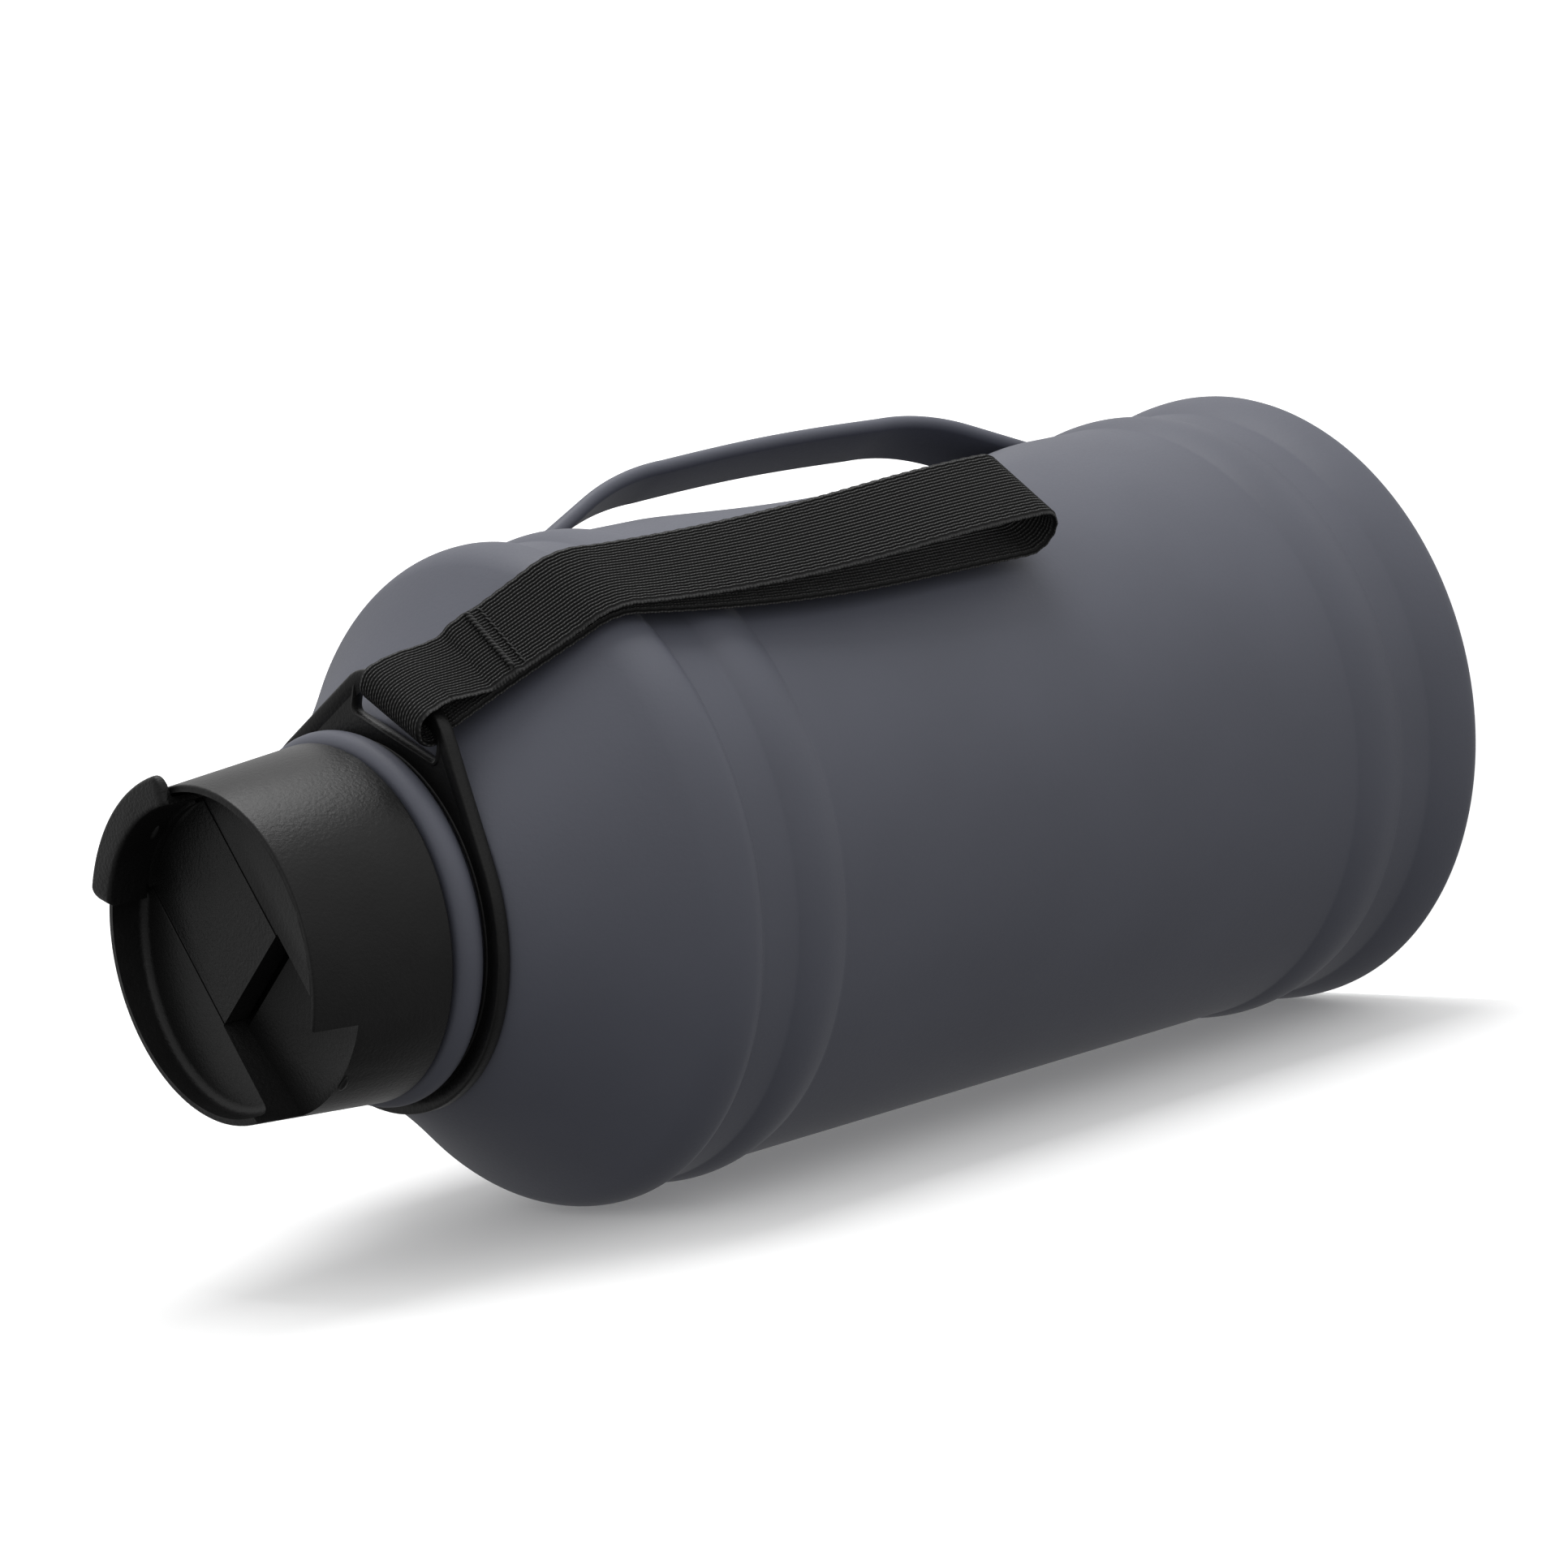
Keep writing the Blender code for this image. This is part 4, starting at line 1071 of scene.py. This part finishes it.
def lens(location):
    """A small oval bump on a wall, longest across the lid."""
    verts, faces = turned(arc((0.0, 0.0), 1.0, -math.pi / 2 + 0.05, math.pi / 2 - 0.05, 12), 24)
    size = (BUMP_HEIGHT + BUMP_SINK, BUMP_LENGTH, BUMP_ASPECT * BUMP_LENGTH)
    moved = [(location[0] + x * size[0], location[1] + z * size[1], location[2] + y * size[2])
             for x, y, z in verts]
    return moved, faces


def bowl_cutter():
    """Cuts the lid's bowl down to its sloping ledges, with a fillet at the foot of the wall."""
    levels = []
    for share in shares(FILLET_STEPS):
        turn = math.pi / 2 * share
        inward = LEDGE_FILLET * (1 - math.sin(turn))
        levels.append((LID_INNER_R - inward, LEDGE_FILLET * (1 - math.cos(turn))))
    rings = []
    for radius, rise in levels + [(LID_INNER_R, None)]:
        ring = []
        for step in range(LID_SIDES):
            angle = 2 * math.pi * step / LID_SIDES
            x = radius * math.cos(angle)
            ring.append((x, radius * math.sin(angle), CUT_TOP_Z if rise is None else ledge_height(x) + rise))
        rings.append(ring)
    return lofted(rings)


def pocket_outline(radius, half_width, front, steps):
    """A plan with a straight front and a round back."""
    swing = math.asin(half_width / radius)
    back = arc((0.0, 0.0), radius, math.pi - swing, math.pi + swing, steps)
    return [(front, -half_width), (front, half_width)] + back


def rod(radius, low, high, sides, location, along="Z"):
    verts, faces = turned([(radius, low), (radius, high)], sides)
    if along == "Y":
        verts = [(x, -z, y) for x, y, z in verts]
    return [(x + location[0], y + location[1], z + location[2]) for x, y, z in verts], faces


def make_lid_cap(mat):
    corners = [(CAP_BORE_R, LID_Z), (LID_BOTTOM_R, LID_Z), (LID_TOP_R, RIM_Z), (0.0, RIM_Z)]
    profile = [(CAP_BORE_R, CAP_PLATE_Z), corners[0]] + softened(corners, LID_CORNER)[1:-1]
    profile[-1] = (profile[-1][0], RIM_Z)
    pocket = pocket_outline(LID_INNER_R - POCKET_WALL, COVER_HALF_WIDTH + POCKET_SIDE_GAP,
                            COVER_FRONT + POCKET_FRONT_GAP, 24)
    side = COVER_HALF_WIDTH + NOTCH_SIDE_GAP
    notch = [(COVER_FRONT, -side), (CUT_REACH, -side), (CUT_REACH, side), (COVER_FRONT, side)]
    low = CAP_PLATE_Z - OVERCUT
    high = POCKET_FLOOR_Z + OVERCUT
    steps = [
        ("DIFFERENCE", bowl_cutter()),
        ("DIFFERENCE", prism(pocket, [], POCKET_FLOOR_Z, CUT_TOP_Z)),
        ("DIFFERENCE", prism(notch, [], NOTCH_Z, CUT_TOP_Z + OVERCUT)),
        ("DIFFERENCE", rod(SPOUT_R, low, high, 48, (SPOUT_X, 0.0, 0.0))),
        ("DIFFERENCE", rod(VENT_R, low, high, 24, (VENT_X, 0.0, 0.0))),
        ("DIFFERENCE", rod(PIN_R + PIN_GAP, -PIN_BORE_HALF, PIN_BORE_HALF, 24, (HINGE_X, 0.0, HINGE_Z), "Y")),
    ]
    cap = carved("lid_cap_skin", turned(profile, LID_SIDES), steps, mat, CAP_EDGE)
    catch_z = NOTCH_Z - CATCH_DROP
    finish_lid(cap, lens((lid_wall_r(catch_z) - BUMP_SINK, 0.0, catch_z)), mat)
    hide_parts("lid_cap")
    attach(cap, "lid")


def finish_lid(cap, catch, mat):
    """Adds a bump to the mesh of the cap or cover and turns it all to its place."""
    bump = piece("catch_bump", *catch, mat)
    merged = bmesh.new()
    merged.from_mesh(cap.data)
    merged.from_mesh(bump.data)
    bmesh.ops.transform(merged, matrix=Matrix.Rotation(LID_TURN, 4, "Z"), verts=merged.verts)
    merged.to_mesh(cap.data)
    merged.free()
    bpy.data.objects.remove(bump, do_unlink=True)


def tab_wall():
    """The cover's end wall, with the lip that reaches out over the rim."""
    low = ledge_height(-TAB_INNER_R * math.cos(TAB_HALF_ANGLE)) + LEDGE_FILLET / 3 + TAB_GAP
    under = RIM_Z + TAB_GAP
    rings = []
    for share in shares(TAB_STEPS):
        side = 2 * share - 1
        # The lip draws back and the wall loses its height in a round corner at both ends
        end = max(0.0, (abs(side) - TAB_END_START) / (1.0 - TAB_END_START))
        drawn = 1.0 - math.sqrt(max(0.0, 1.0 - end * end))
        lip_r = TAB_LIP_R - (TAB_LIP_R - TAB_OUTER_R) * TAB_END_DRAW * drawn
        top = under + TAB_LIP_RISE - TAB_END_DROP * drawn
        section = [(TAB_INNER_R, low), (TAB_OUTER_R, low), (TAB_OUTER_R, under), (lip_r, under), (lip_r, top),
                   (TAB_INNER_R, top)]
        section = softened(section, min(TAB_CORNER, (lip_r - TAB_OUTER_R) * 0.45), steps=5, closed=True)
        angle = math.pi + TAB_HALF_ANGLE * side
        rings.append([(radius * math.cos(angle), radius * math.sin(angle), height)
                      for radius, height in section])
    return lofted(rings)


def make_cover(mat):
    plate = prism(pocket_outline(TAB_INNER_R + ROOT_REACH, COVER_HALF_WIDTH, COVER_FRONT, 32), [],
                  HINGE_Z - COVER_UNDERSIDE, ledge_height)
    root = []
    for radius, way in ((TAB_OUTER_R - ROOT_GAP, 1.0), (TAB_INNER_R - ROOT_REACH, -1.0)):
        swing = way * math.asin((COVER_HALF_WIDTH - ROOT_REACH) / radius)
        root += arc((0.0, 0.0), radius, math.pi - swing, math.pi + swing, 16)
    root_block = prism(root, [], HINGE_Z + ROOT_REACH - COVER_UNDERSIDE, HINGE_Z + ROOT_TOP)
    bore_half = COVER_HALF_WIDTH + OVERCUT
    bore = rod(PIN_R + PIN_GAP, -bore_half, bore_half, 24, (HINGE_X, 0.0, HINGE_Z), "Y")
    steps = [("UNION", tab_wall()), ("UNION", root_block), ("DIFFERENCE", bore)]
    cover = carved("flip_cover_skin", plate, steps, mat, COVER_EDGE)
    # Once the cover is turned right over, its bump is at the height of the cap's catch
    finish_lid(cover, lens((-TAB_INNER_R - BUMP_SINK, 0.0, 2 * HINGE_Z - NOTCH_Z + CATCH_DROP)), mat)
    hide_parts("flip_cover")
    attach(cover, "cover")


# Studio


def card_material(name, glow):
    """Pale studio card, seen from its front only."""
    n = material(name)
    n.set(
        Base_Color=n.tones(n.noise(n.where(), 40.0, 3.0), CARD_DARK, CARD_LIGHT),
        Roughness=0.9,
        Specular_IOR_Level=0.1,
        Emission_Color=WHITE,
        Emission_Strength=glow,
    )
    side = n.add("ShaderNodeNewGeometry").outputs["Backfacing"]
    clear = n.add("ShaderNodeBsdfTransparent").outputs["BSDF"]
    shown = n.mixed(side, n.shader.outputs["BSDF"], clear)
    n.join(shown, n.tree.nodes["Material Output"].inputs["Surface"])
    return n.owner


def make_floor():
    """A pale floor under the base, and a pale card that the body's lower side in the picture touches."""
    low_side = Vector((-UPRIGHT.x, -UPRIGHT.y, 0.0)).normalized()
    card_centre = low_side * (BULGE_R + CARD_GAP) + Vector((0.0, 0.0, CARD_MIDDLE_Z))
    for name, centre, normal, glow in (
        ("floor", Vector((0.0, 0.0, -FLOOR_DROP)), Vector((0.0, 0.0, 1.0)), FLOOR_GLOW),
        ("low_side_card", card_centre, -low_side, CARD_GLOW),
    ):
        place = Matrix.Translation(centre) @ normal.to_track_quat("Z", "Y").to_matrix().to_4x4()
        corners = [tuple(place @ Vector((x * CARD_HALF, y * CARD_HALF, 0.0)))
                   for x, y in ((-1, -1), (1, -1), (1, 1), (-1, 1))]
        mesh = bpy.data.meshes.new(name)
        mesh.from_pydata(corners, [], [(0, 1, 2, 3)])
        mesh.materials.append(card_material(name + "_card", glow))
        floor = bpy.data.objects.new(name, mesh)
        bpy.context.scene.collection.objects.link(floor)
        # The cards catch the bottle's shadow and leave its own light alone
        floor.visible_diffuse = False
        floor.visible_glossy = False
        floor.visible_transmission = False
        floor.visible_shadow = False


def make_world():
    """White to the camera, and a soft studio dome that is darker from below the picture."""
    world = bpy.data.worlds.new("studio")
    bpy.context.scene.world = world
    n = Nodes(world)
    n.tree.nodes.clear()
    seen = n.add("ShaderNodeBackground")
    lit = n.add("ShaderNodeBackground")
    for background in (seen, lit):
        background.inputs["Strength"].default_value = 1.0
    seen.inputs["Color"].default_value = WHITE
    upward = n.along(n.where("Generated"), tuple(UPRIGHT))
    n.join(n.span(upward, WORLD_LOW, WORLD_HIGH, -1.0), lit.inputs["Color"])
    to_camera = n.add("ShaderNodeLightPath").outputs["Is Camera Ray"]
    shown = n.mixed(to_camera, lit.outputs["Background"], seen.outputs["Background"])
    n.join(shown, n.add("ShaderNodeOutputWorld").inputs["Surface"])


def add_softbox(name, place, size, power):
    """A square lamp that faces the bottle's middle."""
    light = bpy.data.lights.new(name, "AREA")
    light.shape = "SQUARE"
    light.size = size
    light.energy = power
    lamp = bpy.data.objects.new(name, light)
    lamp.location = place
    lamp.rotation_mode = "QUATERNION"
    lamp.rotation_quaternion = (MIDDLE - place).to_track_quat("-Z", "Y")
    bpy.context.scene.collection.objects.link(lamp)


def make_lights():
    left = UPRIGHT.cross(FORWARD)
    add_softbox("key", MIDDLE + UPRIGHT * KEY_UP + FORWARD * KEY_BACK + left * KEY_LEFT, KEY_SIZE, KEY_POWER)
    add_softbox("fill", MIDDLE - FORWARD * FILL_FRONT + UPRIGHT * FILL_UP, FILL_SIZE, FILL_POWER)


def make_camera():
    data = bpy.data.cameras.new("camera")
    data.lens = LENS
    data.sensor_width = SENSOR
    data.clip_start = 0.05
    data.clip_end = 20.0
    camera = bpy.data.objects.new("camera", data)
    side = FORWARD.cross(UPRIGHT).normalized()
    top = side.cross(FORWARD)
    turn = Matrix((side, top, -FORWARD)).transposed().to_4x4()
    camera.matrix_world = Matrix.Translation(EYE) @ turn
    bpy.context.scene.collection.objects.link(camera)
    bpy.context.scene.camera = camera


def dress_nodes():
    """Gives each carried-over solid its material."""
    finishes = {
        "base_plate": powder_coat("base_paint"),
        "vacuum_seal": brushed_steel("seal_steel", (900.0, 30.0, 900.0), (0.62, 0.62, 0.63)),
        "inner_flask": brushed_steel("flask_steel", (40.0, 40.0, 2200.0), (0.66, 0.66, 0.66)),
        "lid_liner": moulded_plastic("liner_plastic", LINER_DARK, LINER_LIGHT, 0.5),
        "lid_gasket": silicone("gasket_silicone"),
        "hinge_pin": brushed_steel("pin_steel", (60.0, 1400.0, 60.0), (0.60, 0.60, 0.61)),
        "spout_seal": silicone("spout_silicone"),
        "vent_seal": silicone("vent_silicone"),
    }
    for name, mat in finishes.items():
        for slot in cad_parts[name].material_slots:
            slot.material = mat


def build():
    make_camera()
    make_world()
    make_lights()
    make_floor()
    paint = powder_coat("body_paint")
    make_shell(paint)
    make_handle(paint)
    make_collar(moulded_plastic("collar_plastic", PLASTIC_DARK, COLLAR_LIGHT, 0.38))
    make_webbing(woven_webbing("webbing"), thread_material("stitch_thread"))
    make_lid_cap(moulded_plastic("lid_plastic", PLASTIC_DARK, LID_LIGHT, 0.36))
    make_cover(moulded_plastic("cover_plastic", PLASTIC_DARK, COVER_LIGHT, 0.38, 0.00004))
    dress_nodes()
    bpy.context.scene.view_settings.view_transform = "Standard"


build()
